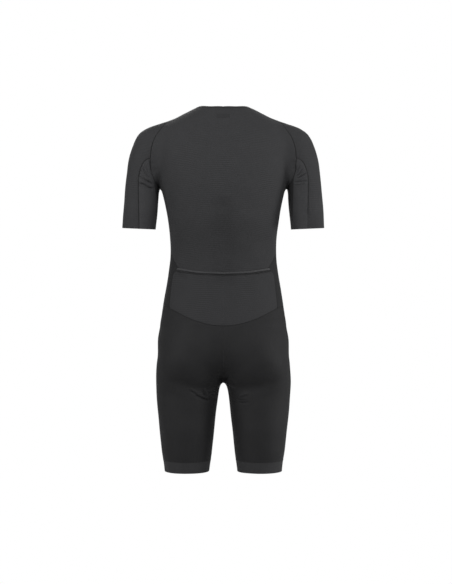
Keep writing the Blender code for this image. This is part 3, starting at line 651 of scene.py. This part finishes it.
def relief(points, laid):
    # How far the cloth stands out of the plain figure at each point.
    flat = points.reshape(-1, 3)
    lift = np.zeros(len(flat))
    for wave in slack["waves"]:
        lift += slack["height"] * np.sin(flat @ np.array(wave, float) + wave[0])
    for crease in laid:
        half = crease["half"]
        reach = creaseShape["reach"] * half
        low, high = crease["line"].min(0) - reach, crease["line"].max(0) + reach
        near = np.flatnonzero(((flat > low) & (flat < high)).all(axis=1))
        for part in np.array_split(near, max(1, len(near) // 4000)):  # a few thousand points at a time
            gap = flat[part][:, None] - crease["line"][None]
            far = (gap**2).sum(2)
            closest = far.argmin(1)
            spot = np.arange(len(part))
            beyond = np.sqrt(far[spot, closest])
            across = (gap[spot, closest] * crease["across"][closest]).sum(1)
            across = np.copysign(beyond, across)
            beside = (across / half - creaseShape["bankPlace"]) / creaseShape["bankWidth"]
            trough = -crease["depth"] * np.exp(-((across / half) ** 2))
            lift[part] += (trough + crease["bank"] * np.exp(-(beside**2))) * crease["fade"][closest]
    return lift.reshape(points.shape[:-1])


def rimOf(rows, columns):
    top = [(0, c) for c in range(columns)]
    right = [(r, columns - 1) for r in range(1, rows)]
    bottom = [(rows - 1, c) for c in range(columns - 2, -1, -1)]
    left = [(r, 0) for r in range(rows - 2, 0, -1)]
    return tuple(np.array(top + right + bottom + left).T)


def drawnIn(grid, normals):
    # The rim moves in by half a seam gap.
    rim = rimOf(*grid.shape[:2])
    line, up = grid[rim], normals[rim]
    inward = unit(np.cross(np.roll(line, -1, axis=0) - line, up))
    before = np.roll(inward, 1, axis=0)
    share = np.maximum(1 + (inward * before).sum(1, keepdims=True), 0.3)
    moved = grid.copy()
    moved[rim] += (inward + before) / share * suit["seamGap"] / 2
    return moved


def facingOut(grid, normals):
    r, c = (n // 2 for n in grid.shape[:2])
    down, over = grid[r, c] - grid[r - 1, c], grid[r, c] - grid[r, c - 1]
    if np.dot(np.cross(down, over), normals[r, c]) > 0:
        return grid, normals
    return grid[:, ::-1], normals[:, ::-1]


def weaveMap(grid):
    # Distances along the cloth: across from the middle column, and up from the lowest row.
    over = np.linalg.norm(np.diff(grid, axis=1), axis=2)
    down = np.linalg.norm(np.diff(grid, axis=0), axis=2)
    u = np.concatenate([np.zeros((len(grid), 1)), np.cumsum(over, axis=1)], axis=1)
    u -= u[:, u.shape[1] // 2][:, None]
    v = np.concatenate([np.zeros((1, grid.shape[1])), np.cumsum(down, axis=0)])
    return np.stack([u, grid[-1:, :, 2] + v[-1:] - v], axis=2)


def place(name, points, faces, uv, material, sharp=40):
    mesh = bpy.data.meshes.new(name)
    mesh.from_pydata([tuple(p) for p in points], [], faces)
    mesh.validate()
    layer = mesh.uv_layers.new(name="weave")
    corners = np.zeros(len(mesh.loops), int)
    mesh.loops.foreach_get("vertex_index", corners)
    layer.data.foreach_set("uv", np.asarray(uv, np.float32)[corners].ravel())
    mesh.shade_smooth()
    mesh.set_sharp_from_angle(angle=math.radians(sharp))
    mesh.materials.append(material)
    made = bpy.data.objects.new(name, mesh)
    bpy.context.scene.collection.objects.link(made)
    return made


def shell(name, grid, laid, material, out=0.0, extra=None):
    # A thin panel on its net, with its creases.
    normals = normalsAt(grid)
    lift = relief(grid, laid) + out
    if extra is not None:
        lift = lift + extra
    flipped = facingOut(grid, normals)[0] is not grid
    if flipped:
        grid, normals, lift = grid[:, ::-1], normals[:, ::-1], lift[:, ::-1]
    uv = weaveMap(grid)
    if flipped:
        uv[..., 0] *= -1
    grid = drawnIn(grid, normals)
    rows, columns = grid.shape[:2]
    sides = [grid + (lift + side * suit["wall"] / 2)[..., None] * normals for side in (1, -1)]
    points = np.concatenate([side.reshape(-1, 3) for side in sides])
    index = np.arange(rows * columns).reshape(rows, columns)
    corners = index[:-1, :-1], index[1:, :-1], index[1:, 1:], index[:-1, 1:]
    quads = np.stack(corners, axis=2).reshape(-1, 4)
    rim = index[rimOf(rows, columns)]
    after = np.roll(rim, -1)
    under = rows * columns
    edge = np.stack([rim, after, after + under, rim + under], axis=1)
    faces = np.concatenate([quads, quads[:, ::-1] + under, edge]).tolist()
    return place(name, points, faces, np.concatenate([uv.reshape(-1, 2)] * 2), material)


def tubeFaces(rings, count, closed=False):
    # The faces of a tube whose rings of points follow each other.
    faces = []
    for i in range(rings if closed else rings - 1):
        here, there = i * count, (i + 1) % rings * count
        for k in range(count):
            after = (k + 1) % count
            faces.append((here + k, there + k, there + after, here + after))
    if not closed:
        faces.append(tuple(range(count)))
        faces.append(tuple(range((rings - 1) * count, rings * count))[::-1])
    return faces


def placeRings(name, rings, faces, uv, material):
    rings, uv = np.stack(rings, axis=1), np.stack(uv, axis=1)
    return place(name, rings.reshape(-1, 3), faces, uv.reshape(-1, 2), material, 60)


def band(name, lower, upper, laid, material, wall, out=0.0, bulge=0.0, sides=12):
    # A folded binding between two lines, round at its edges. Bulge lifts its upper edge.
    middle = (lower + upper) / 2
    normals = normalsAt(middle)
    half = (upper - lower) / 2
    lift = relief(middle, laid) + out
    rings, uv = [], []
    run = runAlong(middle)
    for turn in np.arange(sides) / sides * 2 * np.pi:
        up = np.sign(np.cos(turn)) * abs(np.cos(turn)) ** 0.8
        thick = np.sign(np.sin(turn)) * abs(np.sin(turn)) ** 0.8
        stand = lift + bulge * (up + 1) / 2 + thick * wall / 2
        rings.append(middle + up * half + stand[:, None] * normals)
        uv.append(np.stack([run, np.full(len(run), up * np.linalg.norm(half, axis=1).mean())], axis=1))
    faces = tubeFaces(len(middle), sides)
    if np.dot(np.cross(half[0], middle[1] - middle[0]), normals[0]) > 0:
        faces = [face[::-1] for face in faces]
    return placeRings(name, rings, faces, uv, material)


def ribbon(name, line, laid, material, half=0.0013, height=0.00035, base=0.0, taper=0.0):
    # The flat thread cover of a seam, a low arch in section, closed underneath.
    line = settled(line)
    normals = normalsAt(line)
    across = unit(np.cross(normals, np.gradient(line, axis=0)))
    run = runAlong(line)
    ends = np.minimum(run, run[-1] - run)
    slim = np.clip(ends / taper, 0.15, 1) if taper else np.ones(len(run))
    lift = relief(line, laid) + suit["wall"] / 2 + base
    section = ((-1, -0.0003), (-0.85, 0.5), (0, 1), (0.85, 0.5), (1, -0.0003), (0, -0.5))
    rings, uv = [], []
    for side, up in section:
        stand = lift + up * height * slim if up >= -0.4 else lift - 0.0002
        rings.append(line + (side * half * slim)[:, None] * across + stand[:, None] * normals)
        uv.append(np.stack([run, np.full(len(run), side * half)], axis=1))
    return placeRings(name, rings, tubeFaces(len(line), len(section)), uv, material)


def stitches(name, line, laid, material, pitch, long, thick, lean=0.0, sway=0.0, base=0.0):
    # A row of raised stitches as one mesh. Lean turns each one off the line, sway sets them
    # to either side in turn.
    line = settled(line)
    run = runAlong(line)
    count = max(2, int(run[-1] / pitch))
    at = (np.arange(count) + 0.5) * run[-1] / count
    spots = readAt(at, run, line)
    normals = normalsAt(spots)
    along = unit(readAt(at, run, np.gradient(line, axis=0)))
    across = np.cross(normals, along)
    swap = np.where(np.arange(count) % 2 == 0, 1, -1)[:, None]
    way = along * np.cos(swap * lean) + across * np.sin(swap * lean)
    flank = np.cross(normals, way)
    centre = spots + across * swap * sway
    centre += normals * (relief(spots, laid) + suit["wall"] / 2 + base)[:, None]
    corners = [centre - way * long / 2, centre + flank * thick / 2, centre + normals * thick / 2,
               centre - flank * thick / 2, centre - normals * thick / 2, centre + way * long / 2]
    points = np.stack(corners, axis=1).reshape(-1, 3)
    one = ((0, 1, 2), (0, 2, 3), (0, 3, 4), (0, 4, 1), (5, 2, 1), (5, 3, 2), (5, 4, 3), (5, 1, 4))
    faces = [tuple(6 * i + k for k in face) for i in range(count) for face in one]
    uv = np.repeat(np.stack([at, np.zeros(count)], axis=1), 6, axis=0)
    return place(name, points, faces, uv, material, 80)


# Cloth, trim and metal finishes. Colours are linear. Rib, loop and cord sizes are in metres.
ribbedKnit = {
    "speckle": 0.5, "mottle": 0.1, "ribPitch": 0.0047, "ribShare": 0.17, "loop": 0.0011, "bump": 0.55,
    "roughness": 0.78, "gloss": 0.26, "paintedHollowShade": 0.27,
}
smoothKnit = {
    "speckle": 0.24, "mottle": 0.12, "ribPitch": 0.0024, "ribShare": 0.04, "loop": 0.0008, "bump": 0.35,
    "roughness": 0.66, "gloss": 0.22, "paintedHollowShade": 0,
}
finishes = {
    "charcoal": ribbedKnit | {"colour": (0.04, 0.0402, 0.0423)},
    # the gusset is the charcoal knit made paler: painted light lifting it where it sits in shade
    "gusset": ribbedKnit | {
        "colour": (0.0478, 0.048, 0.0505), "paintedUnderarmShade": (0.0205, 0.0206, 0.0216), "speckle": 0.45,
        "ribPitch": 0.004, "ribShare": 0.08, "paintedHollowShade": 0,
    },
    "pocket": ribbedKnit | {
        "colour": (0.0335, 0.0336, 0.0355), "speckle": 0.28, "ribPitch": 0.005, "ribShare": 0.18,
        "loop": 0.0012, "bump": 0.6, "paintedHollowShade": 0.2,
    },
    "smoothBlack": smoothKnit | {"colour": (0.019, 0.019, 0.02)},
    "sideBlack": smoothKnit | {"colour": (0.018, 0.0181, 0.0191), "roughness": 0.7},
    "gripBand": smoothKnit | {
        "colour": (0.035, 0.0351, 0.0369), "speckle": 0.2, "mottle": 0.08, "ribPitch": 0.002,
        "ribShare": 0.18, "loop": 0.001, "bump": 0.7, "roughness": 0.7, "gloss": 0.26,
    },
}
trims = {  # colour, roughness, width of one cord and strength of the bump
    "binding": ((0.019, 0.019, 0.02), 0.62, 0.0012, 0.5),
    # the pocket's binding is the black binding painted paler: painted highlight where it catches the light
    "mouthBindingPaintedHighlight": ((0.047, 0.0471, 0.0492), 0.6, 0.0014, 0.5),
    "seamTape": ((0.0085, 0.0085, 0.009), 0.75, 0.0009, 0.4),
    "seatTape": ((0.014, 0.014, 0.0147), 0.75, 0.0009, 0.4),
    "thread": ((0.015, 0.015, 0.0158), 0.55, 0.0004, 0.3),
    "clothThread": ((0.039, 0.0391, 0.0412), 0.7, 0.0004, 0.3),
    "bandThread": ((0.029, 0.0291, 0.0305), 0.7, 0.0004, 0.3),
    "paleThread": ((0.042, 0.0421, 0.044), 0.55, 0.0004, 0.3),
    "zipTape": ((0.01, 0.01, 0.0106), 0.75, 0.0006, 0.5),
    "patch": ((0.029, 0.0291, 0.0308), 0.8, 0.004, 0.05),
}
hardware = {
    "zipMetal": {"colour": (0.022, 0.022, 0.024), "roughness": 0.34, "metallic": 0.85, "worn": 0.075},
    "zipTeeth": {"colour": (0.026, 0.026, 0.027), "roughness": 0.34, "metallic": 0.0, "worn": 0.05},
}


knitNoise = {  # scale, detail and roughness
    "speckle": (430.0, 2.0, 0.7), "fleck": (1100.0, 1.0), "mottle": (34.0, 3.0), "patchy": (15.0, 1.0),
}
tints = {"cloth": (0.62, 1.38), "trim": (0.65, 1.35)}  # of a colour, where it is darkest and palest
# Where the back is painted darker with shade, in metres: each shade's top, its foot, and how far each of
# them fades.
hollow = {
    "spine": (-0.25, 0.05, -0.47, 0.06), "spineReach": 1.7, "spineHalf": 0.023,
    "low": (-0.265, 0.065, -0.426, 0.01), "lowShare": 0.75, "behind": 40.0,
}
# The outer edge of each gusset's strip of painted shade, how it moves further down, and its blur, in
# metres.
strip = {
    "left": 0.1747, "leftShift": 0.0088, "shiftFrom": -0.205, "shiftOver": 0.05,
    "right": 0.1824, "rightLean": 0.0233, "blur": 0.0012,
}


def tinted(colour, share):
    return tuple(channel * share for channel in colour)


def between(up, top, topFade, foot, footFade):
    return ((top - up) / topFade).limited() * ((up - foot) / footFade).limited()


def paintedHollowShade(finish, spot):
    # A soft painted shade in the cloth's colour over the low back and the hollow of the spine, where shade
    # falls.
    across, deep, up = (finish.axis(spot, number) for number in range(3))
    behind = (deep * hollow["behind"]).limited()
    spine = (hollow["spineReach"] - across.absolute() / hollow["spineHalf"]).limited() * behind
    spine = spine * between(up, *hollow["spine"])
    spine = spine * spine * (3.0 - spine * 2.0)
    low = between(up, *hollow["low"]) * behind
    return spine + low * (1.0 - spine) * hollow["lowShare"]


def paintedUnderarmShade(finish, spot):
    # The strip of each sleeve gusset that faces the body is painted dark: painted shade where the arm turns
    # towards the body.
    across, up = finish.axis(spot, 0), finish.axis(spot, 2)
    shift = ((strip["shiftFrom"] - up) / strip["shiftOver"]).limited() * strip["leftShift"]
    left, right = strip["left"] - shift, strip["right"] + up * strip["rightLean"]
    return ((left - across) / strip["blur"]).limited() * ((right + across) / strip["blur"]).limited()


def clothFinish(name):
    look = finishes[name]
    finish = Finish(name)
    weave = finish.node("UVMap", {"uv_map": "weave"}, {})
    spot = finish.node("TexCoord", {}, {}, 3)
    across, up = finish.axis(weave, 0), finish.axis(weave, 1)
    speckle, fleck, mottle, patchy = (finish.noise(spot, *sizes) for sizes in knitNoise.values())
    ribs = (up * (2 * math.pi / look["ribPitch"]) + (patchy - 0.5) * 14.0).sine()
    strength = ((patchy - 0.38) * 4.0).limited()
    grain = (speckle - 0.5) * (2 * look["speckle"]) + (fleck - 0.5) * look["speckle"]
    tone = 0.5 + grain + (mottle - 0.5) * (2 * look["mottle"]) + ribs * strength * look["ribShare"]
    # painted shade: the cloth's colour is darkened over the hollow of the spine and the low back
    tone = tone - paintedHollowShade(finish, spot) * look["paintedHollowShade"]
    ends = [tinted(look["colour"], share) for share in tints["cloth"]]
    colour = finish.blendColours(tone.limited(), *ends)
    # painted shade: the gusset's strip that faces the body is darkened
    if "paintedUnderarmShade" in look:
        colour = finish.blendColours(paintedUnderarmShade(finish, spot), colour, look["paintedUnderarmShade"])
    loop = 2 * math.pi / look["loop"]
    loops = (across * loop).sine() * (up * (loop / 1.3)).sine()
    height = loops * 0.35 + ribs * 0.25 + speckle * 0.8
    bump = finish.node("Bump", {}, {"Strength": look["bump"], "Distance": 0.0003, "Height": height})
    return finish.surface({
        "Base Color": colour, "Roughness": (look["roughness"] + (speckle - 0.5) * 0.16).limited(),
        "Normal": bump, "Specular IOR Level": look["gloss"], "Sheen Weight": 0.08, "Sheen Roughness": 0.4,
    })


def trimFinish(name):
    colour, roughness, cord, depth = trims[name]
    finish = Finish(name)
    weave = finish.node("UVMap", {"uv_map": "weave"}, {})
    noise = finish.noise(finish.node("TexCoord", {}, {}, 3), 600.0, 2.0)
    cords = ((finish.axis(weave, 0) + finish.axis(weave, 1) * 0.6) * (2 * math.pi / cord)).sine()
    tone = (0.5 + cords * 0.12 + (noise - 0.5) * 0.7).limited()
    height = cords * 0.5 + noise * 0.5
    ends = [tinted(colour, share) for share in tints["trim"]]
    return finish.surface({
        "Base Color": finish.blendColours(tone, *ends),
        "Roughness": (roughness + (noise - 0.5) * 0.2).limited(),
        "Specular IOR Level": 0.35, "Sheen Weight": 0.08,
        "Normal": finish.node("Bump", {}, {"Strength": depth, "Distance": 0.0002, "Height": height}),
    })


def metalFinish(name):
    look = hardware[name]
    finish = Finish(name)
    corners = finish.node("NewGeometry", {}, {}, 7)
    smear = finish.noise(finish.node("TexCoord", {}, {}, 3), 900.0, 3.0)
    edges = ((corners - 0.52) * 9.0 + (smear - 0.5)).limited()
    return finish.surface({
        "Base Color": finish.blendColours(edges, look["colour"], (look["worn"],) * 3),
        "Roughness": (look["roughness"] + (smear - 0.5) * 0.25).limited(), "Metallic": look["metallic"],
        "Normal": finish.node("Bump", {}, {"Strength": 0.12, "Distance": 0.0001, "Height": smear}),
    })


# Each cloth piece: its finish, its slot in the record, and the width, length and area it is cut to.
cutSizes = {
    "back": ("charcoal", "knit_charcoal", (0.42, 0.56), 0.1895),
    "pocket": ("pocket", "knit_pocket", (0.29, 0.142), 0.0332),
    "front": ("charcoal", "knit_charcoal", (0.215, 0.53), 0.0788),
    "side": ("sideBlack", "knit_side", (0.095, 0.34), 0.0192),
    "sleeve": ("charcoal", "knit_charcoal", (0.215, 0.285), 0.0403),
    "sleeve_gusset": ("gusset", "knit_charcoal", (0.15, 0.19), 0.02),
    "shorts_back": ("smoothBlack", "knit_black", (0.27, 0.43), 0.0863),
    "shorts_front": ("smoothBlack", "knit_black", (0.29, 0.43), 0.0921),
    "leg_band": ("gripBand", "grip_band", (0.39, 0.03), 0.0114),
    "zip_tape": ("zipTape", "zip_tape_black", (0.01, 0.46), 0.00355),
    "pocket_binding": ("mouthBindingPaintedHighlight", "binding_black", (0.262, 0.01), 0.0022),
    "neck_binding": ("binding", "binding_black", (0.5, 0.01), 0.0036),
}
trimsOf = {}


def kindOf(node):
    return node.removesuffix("_left").removesuffix("_right")


def seamLine(name, start=()):
    cells, *groups = seamTables[name]
    points = [onSkin(view, *place) for view, *places in groups for place in places]
    return settled(smoothLine([*start, *points], cells * suit["refine"]))


def laySeams():
    seams = {name: seamLine(name) for name in seamTables if name != "sideFront"}
    # the side panel's front seam leaves the armpit halfway round it
    seams["sideFront"] = seamLine("sideFront", [seams["armpitFront"][suit["armpitCells"] * suit["refine"]]])
    return seams


def ringBetween(start, end, centre, cells, height, outside):
    # A line round a limb from one point to another, by its outer or its inner side.
    turns = [math.degrees(math.atan2(p[0] - centre[0], p[1] - centre[1])) for p in (start, end)]
    if outside and turns[1] < turns[0]:
        turns[1] += 360
    if not outside and turns[1] > turns[0]:
        turns[1] -= 360
    line = []
    for turn in np.radians(np.linspace(*turns, cells * suit["refine"] + 1)):
        way = np.array((math.sin(turn), math.cos(turn), 0))
        line.append(cast((*centre, height(way)), way))
    return np.array(line)


def cuffHeight(way):
    rises = suit["cuffRise"] * (way[0] + 1) + suit["cuffFrontRise"] * (1 - way[1])
    return suit["cuff"] + rises / 2


def bandTop(_):
    return suit["hem"] + suit["legBand"]


def makeNets(s):
    # The fine net of every panel, with only the left one of each pair.
    nets = {}
    upperSide = chain(s["armholeBack"], s["armpitBack"], s["sideBack"], s["sideWedge"])
    neckLine = bothSides(chain(s["neckBack"], s["shoulder"]))
    mouth, pocketTop, foot = (bothSides(s[name]) for name in ("pocketMouth", "pocketTop", "pocketFoot"))
    upper = net(neckLine, mouth, mirrored(upperSide), upperSide)
    strip = net(mouth, pocketTop, mirrored(s["bindingEnd"]), s["bindingEnd"])
    nets["pocket"] = net(pocketTop, foot, mirrored(s["pocketSide"]), s["pocketSide"])
    nets["back"] = np.concatenate([upper, strip[1:], nets["pocket"][1:]])

    halfway = suit["armpitCells"] * suit["refine"]
    sideBack = chain(s["sideBack"], s["sideWedge"], s["bindingEnd"], s["pocketSide"])
    sideFoot = chain(s["sideFootBack"], s["sideFootFront"])
    nets["side"] = net(s["armpitFront"][: halfway + 1], sideFoot, sideBack, s["sideFront"])

    armhole = chain(s["armpitFront"][halfway:], s["armholeFront"])[::-1]
    frontTop = chain(s["neckFront"][::-1], s["shoulder"])
    nets["front"] = net(frontTop, s["frontFoot"][::-1], s["zipEdge"], chain(armhole, s["sideFront"]))
    width = s["zipEdge"] - s["zipMiddle"]
    nets["zip_tape"] = np.stack([s["zipMiddle"] + width * share for share in np.linspace(0, 1, 4)], axis=1)

    ends = s["gussetBack"][-1], s["gussetFront"][-1]
    cuff = suit["armCentre"], suit["cuffCells"], cuffHeight
    outer, inner = ringBetween(*ends, *cuff, True), ringBetween(*ends, *cuff, False)
    s["gussetBack"][-1] = inner[0] = outer[0]
    s["gussetFront"][-1] = inner[-1] = outer[-1]
    over = chain(s["armholeBack"][::-1], s["armholeFront"][::-1])
    nets["sleeve"] = net(over, outer, s["gussetBack"], s["gussetFront"])
    armpit = chain(s["armpitBack"], s["armpitFront"])
    nets["sleeve_gusset"] = net(armpit, inner, s["gussetBack"], s["gussetFront"])
    s["cuff"] = chain(outer, inner[::-1])

    ends = s["inseam"][-1], s["outseam"][-1]
    backFoot = ringBetween(*ends, suit["legCentre"], suit["hemCells"][0], bandTop, True)
    frontFoot = ringBetween(*ends, suit["legCentre"], suit["hemCells"][1], bandTop, False)
    s["inseam"][-1] = frontFoot[0] = backFoot[0]
    s["outseam"][-1] = frontFoot[-1] = backFoot[-1]
    backTop = chain(s["pocketFoot"], s["sideFootBack"])
    nets["shorts_back"] = net(backTop, backFoot, chain(s["seat"], s["inseam"]), s["outseam"])
    frontTop = chain(s["sideFootFront"], s["frontFoot"])
    frontTop[-1] = s["fly"][0]
    nets["shorts_front"] = net(frontTop[::-1], frontFoot, chain(s["fly"], s["inseam"]), s["outseam"])
    s["bandTop"] = chain(backFoot, frontFoot[::-1])
    drops = np.linspace(0, suit["legBand"], 13)
    nets["leg_band"] = np.stack([lowered(s["bandTop"], drop) for drop in drops])
    return nets


def lowered(line, drop):
    return settled(line - np.array((0, 0, drop)))


def finished(piece, node, body="suit"):
    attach(piece, body)
    if node:
        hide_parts(node)
    return piece


def addTrim(owner, piece, node=None):
    piece = finished(piece, node)
    trimsOf.setdefault(owner, []).append(piece)


pairedPanels = (
    "side", "front", "sleeve", "sleeve_gusset", "shorts_back", "shorts_front", "leg_band", "zip_tape",
)
pouch = {
    "stand": 0.0016, "standFade": 0.16, "out": suit["wall"] + suit["layerGap"],
    "divider": (-436, -470, -510, -556),  # heights of its stitches, in millimetres
}


def makeCloth(nets, laid, looks):
    pieces = {}

    def addPanel(node, grid, out=0.0, extra=None):
        finish, slot = cutSizes[kindOf(node)][:2]
        pieces[node] = finished(shell(f"{node}_cloth", grid, laid, looks[finish], out, extra), node)

    for kind in pairedPanels:
        for side, flip in sides.items():
            addPanel(f"{kind}_{side}", flip(nets[kind]))
    addPanel("back", nets["back"])

    # the pouch lies on the back and stands off a little at its mouth
    grid = nets["pocket"]
    drop = np.linspace(0, 1, len(grid))[:, None]
    over = np.abs(np.linspace(-1, 1, grid.shape[1]))[None]
    stand = pouch["stand"] * np.exp(-((drop / pouch["standFade"]) ** 2)) * (1 - over**4)
    addPanel("pocket", grid, pouch["out"], stand)
    print("cloth panels made")
    return pieces


# Covered seams: the piece that owns each, its name, its lines in order, and half its width and its
# height. All lengths are in metres.
wide, slim, snug = (0.0013, 0.00035), (0.001, 0.0003), (0.0012, 0.0004)
coveredSeams = (
    ("sleeve_{}", "armhole_{}", ("armholeFront", "armholeBack"), wide),
    ("sleeve_gusset_{}", "armpit_{}", ("armpitBack", "armpitFront"), wide),
    ("sleeve_{}", "gusset_back_{}", ("gussetBack",), wide),
    ("sleeve_{}", "gusset_front_{}", ("gussetFront",), wide),
    ("side_{}", "side_back_{}", ("sideBack", "sideWedge"), slim),
    ("side_{}", "side_front_{}", ("sideFront",), slim),
    ("shorts_back_{}", "outseam_{}", ("outseam",), wide),
    ("shorts_front_{}", "inseam_{}", ("inseam",), wide),
    ("shorts_front_{}", "waist_{}", ("sideFootBack", "sideFootFront", "frontFoot"), wide),
    ("leg_band_{}", "band_{}", ("bandTop",), slim),
)
# Long is for each half width of the cover, and lift for each height of it.
coverStitch = {"pitch": 0.0021, "long": 2.1, "thick": 0.00042, "lean": 1.05, "lift": 0.8}
stitchRows = {  # thread, pitch, length and thickness
    "hem": ("bandThread", 0.0026, 0.0019, 0.0004),
    "cuff": ("clothThread", 0.0026, 0.0019, 0.0004),
    "zip": ("thread", 0.0028, 0.0021, 0.0004),
    "divider": ("paleThread", 0.003, 0.0022, 0.0005),
}
hemRow = {"aboveHem": 0.0035, "aboveCuff": 0.004, "besideZip": 0.0016}
gussetFade = {"foot": -0.285, "taper": 0.02}  # the right gusset's back seam ends short of the cuff
# The drop places the dark ribbon of painted shadow below the pocket's binding; the rest shape the binding's
# strap.
mouthTrim = {
    "paintedShadowDrop": 0.0012, "strapFoot": 0.3, "strapWall": 0.0022, "strapOut": 0.0004, "strapBulge": 0.001,
}
patch = {"halfWidth": 15.5, "height": 9.2, "top": -28.5, "out": 0.00075}  # the first three in millimetres
teeth = {"pitch": 0.0012, "long": 0.0034, "thick": 0.0011, "sway": 0.0006, "base": 0.0005}
metal = {"zip_slider": ("suit", 0.00032), "zip_pull": ("zip_pull", 0.00026)}  # body and softened edge


def makeTrims(s, laid, looks):
    def seamCover(owner, name, line, half, height, taper=0.0, tape="seamTape"):
        addTrim(owner, ribbon(f"{name}_seam", line, laid, looks[tape], half, height, taper=taper))
        addTrim(owner, stitches(
            f"{name}_stitches", line, laid, looks["thread"], coverStitch["pitch"],
            coverStitch["long"] * half, coverStitch["thick"], coverStitch["lean"],
            base=height * coverStitch["lift"],
        ))

    def stitchRow(owner, name, line, base=0.0):
        thread, *sizes = stitchRows[name.split("_")[0]]
        addTrim(owner, stitches(name, line, laid, looks[thread], *sizes, base=base))

    for side, flip in sides.items():
        for owner, name, lines, sizes in coveredSeams:
            line, taper = chain(*(s[part] for part in lines)), 0.0
            if side == "right" and name == "gusset_back_{}":
                line, taper = line[line[:, 2] > gussetFade["foot"]], gussetFade["taper"]
            seamCover(owner.format(side), name.format(side), flip(line), *sizes, taper)
        hem = lowered(s["bandTop"], suit["legBand"] - hemRow["aboveHem"])
        stitchRow(f"leg_band_{side}", f"hem_stitches_{side}", flip(hem))
        stitchRow(f"sleeve_{side}", f"cuff_stitches_{side}", flip(lowered(s["cuff"], -hemRow["aboveCuff"])))
        edge = s["zipEdge"] + np.array((hemRow["besideZip"], 0, 0))
        stitchRow(f"front_{side}", f"zip_stitches_{side}", flip(edge))
    seamCover("shorts_back_left", "seat", chain(s["seat"], s["fly"][::-1]), *slim, tape="seatTape")
    seamCover("pocket", "pocket_foot", bothSides(s["pocketFoot"]), *snug)
    for side, flip in sides.items():
        seamCover("pocket", f"pocket_side_{side}", flip(s["pocketSide"]), *slim)
    divider = smoothLine([onSkin("back", 0, up) for up in pouch["divider"]], 60)
    stitchRow("pocket", "divider_stitches", divider, pouch["out"])

    upper, lower = bothSides(s["pocketMouth"]), bothSides(s["pocketTop"])
    # a dark ribbon just below the binding is painted shadow, the line of shade under the standing binding
    below = lowered(lower, mouthTrim["paintedShadowDrop"])
    out = pouch["out"] + pouch["stand"]
    paintedShadowLine = ribbon("pocket_mouth_painted_shadow", below, laid, looks["seamTape"], *slim, out)
    addTrim("pocket", paintedShadowLine)
    out = (suit["wall"] + suit["bindingWall"]) / 2 + suit["layerGap"] + mouthTrim["strapOut"]
    foot = lower + (upper - lower) * mouthTrim["strapFoot"]
    sizes = mouthTrim["strapWall"], out, mouthTrim["strapBulge"]
    # the strap's pale colour is painted highlight
    strap = band("pocket_binding_roll", foot, upper, laid, looks["mouthBindingPaintedHighlight"], *sizes)
    addTrim("pocket_binding", strap, "pocket_binding")

    edge = bothSides(chain(s["neckBack"], s["neckFront"]))
    rim = bothSides(chain(s["bindingBack"], s["bindingFront"]))
    collar = band("neck_binding_roll", edge, rim, laid, looks["binding"], suit["bindingWall"])
    addTrim("neck_binding", collar, "neck_binding")

    # a bare rectangle of smoother film under the neck
    across = np.linspace(-patch["halfWidth"], patch["halfWidth"], 15)
    heights = patch["top"] - np.linspace(0, patch["height"], 6)
    film = np.array([[onSkin("back", x, z) for x in across] for z in heights])
    addTrim("back", shell("neck_patch", film, laid, looks["patch"], patch["out"]))
    print("seams and bindings made")


def makeZip(s, laid, looks):
    # The closed coil: teeth from both tapes in turn.
    sizes = (teeth["pitch"], teeth["long"], teeth["thick"], math.pi / 2, teeth["sway"], teeth["base"])
    addTrim("zip_tape_left", stitches("zip_teeth", s["zipMiddle"], laid, looks["zipTeeth"], *sizes))
    for node, (body, soft) in metal.items():
        copy = bpy.data.objects.new(f"{node}_metal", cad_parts[node].data.copy())
        bpy.context.scene.collection.objects.link(copy)
        copy.data.materials.clear()
        copy.data.materials.append(looks["zipMetal"])
        weld = copy.modifiers.new("weld", "WELD")
        weld.merge_threshold = 0.00001
        bevel = copy.modifiers.new("softEdges", "BEVEL")
        bevel.width, bevel.segments, bevel.limit_method = soft, 3, "ANGLE"
        bevel.angle_limit = math.radians(35)
        bevel.use_clamp_overlap = True
        finished(copy, node, body)
    print("zip made")


makeStudio()
looks = {name: clothFinish(name) for name in finishes}
looks.update({name: trimFinish(name) for name in trims})
looks.update({name: metalFinish(name) for name in hardware})
print("finishes made")
seams = laySeams()
laid = layCreases(seams)
print("seams laid")
nets = makeNets(seams)
print("nets stretched")
pieces = makeCloth(nets, laid, looks)
makeTrims(seams, laid, looks)
makeZip(seams, laid, looks)
going = {node: trimsOf.get(node, []) for node in pieces}
for node in ("pocket_binding", "neck_binding"):
    pieces[node], going[node] = trimsOf[node][0], []
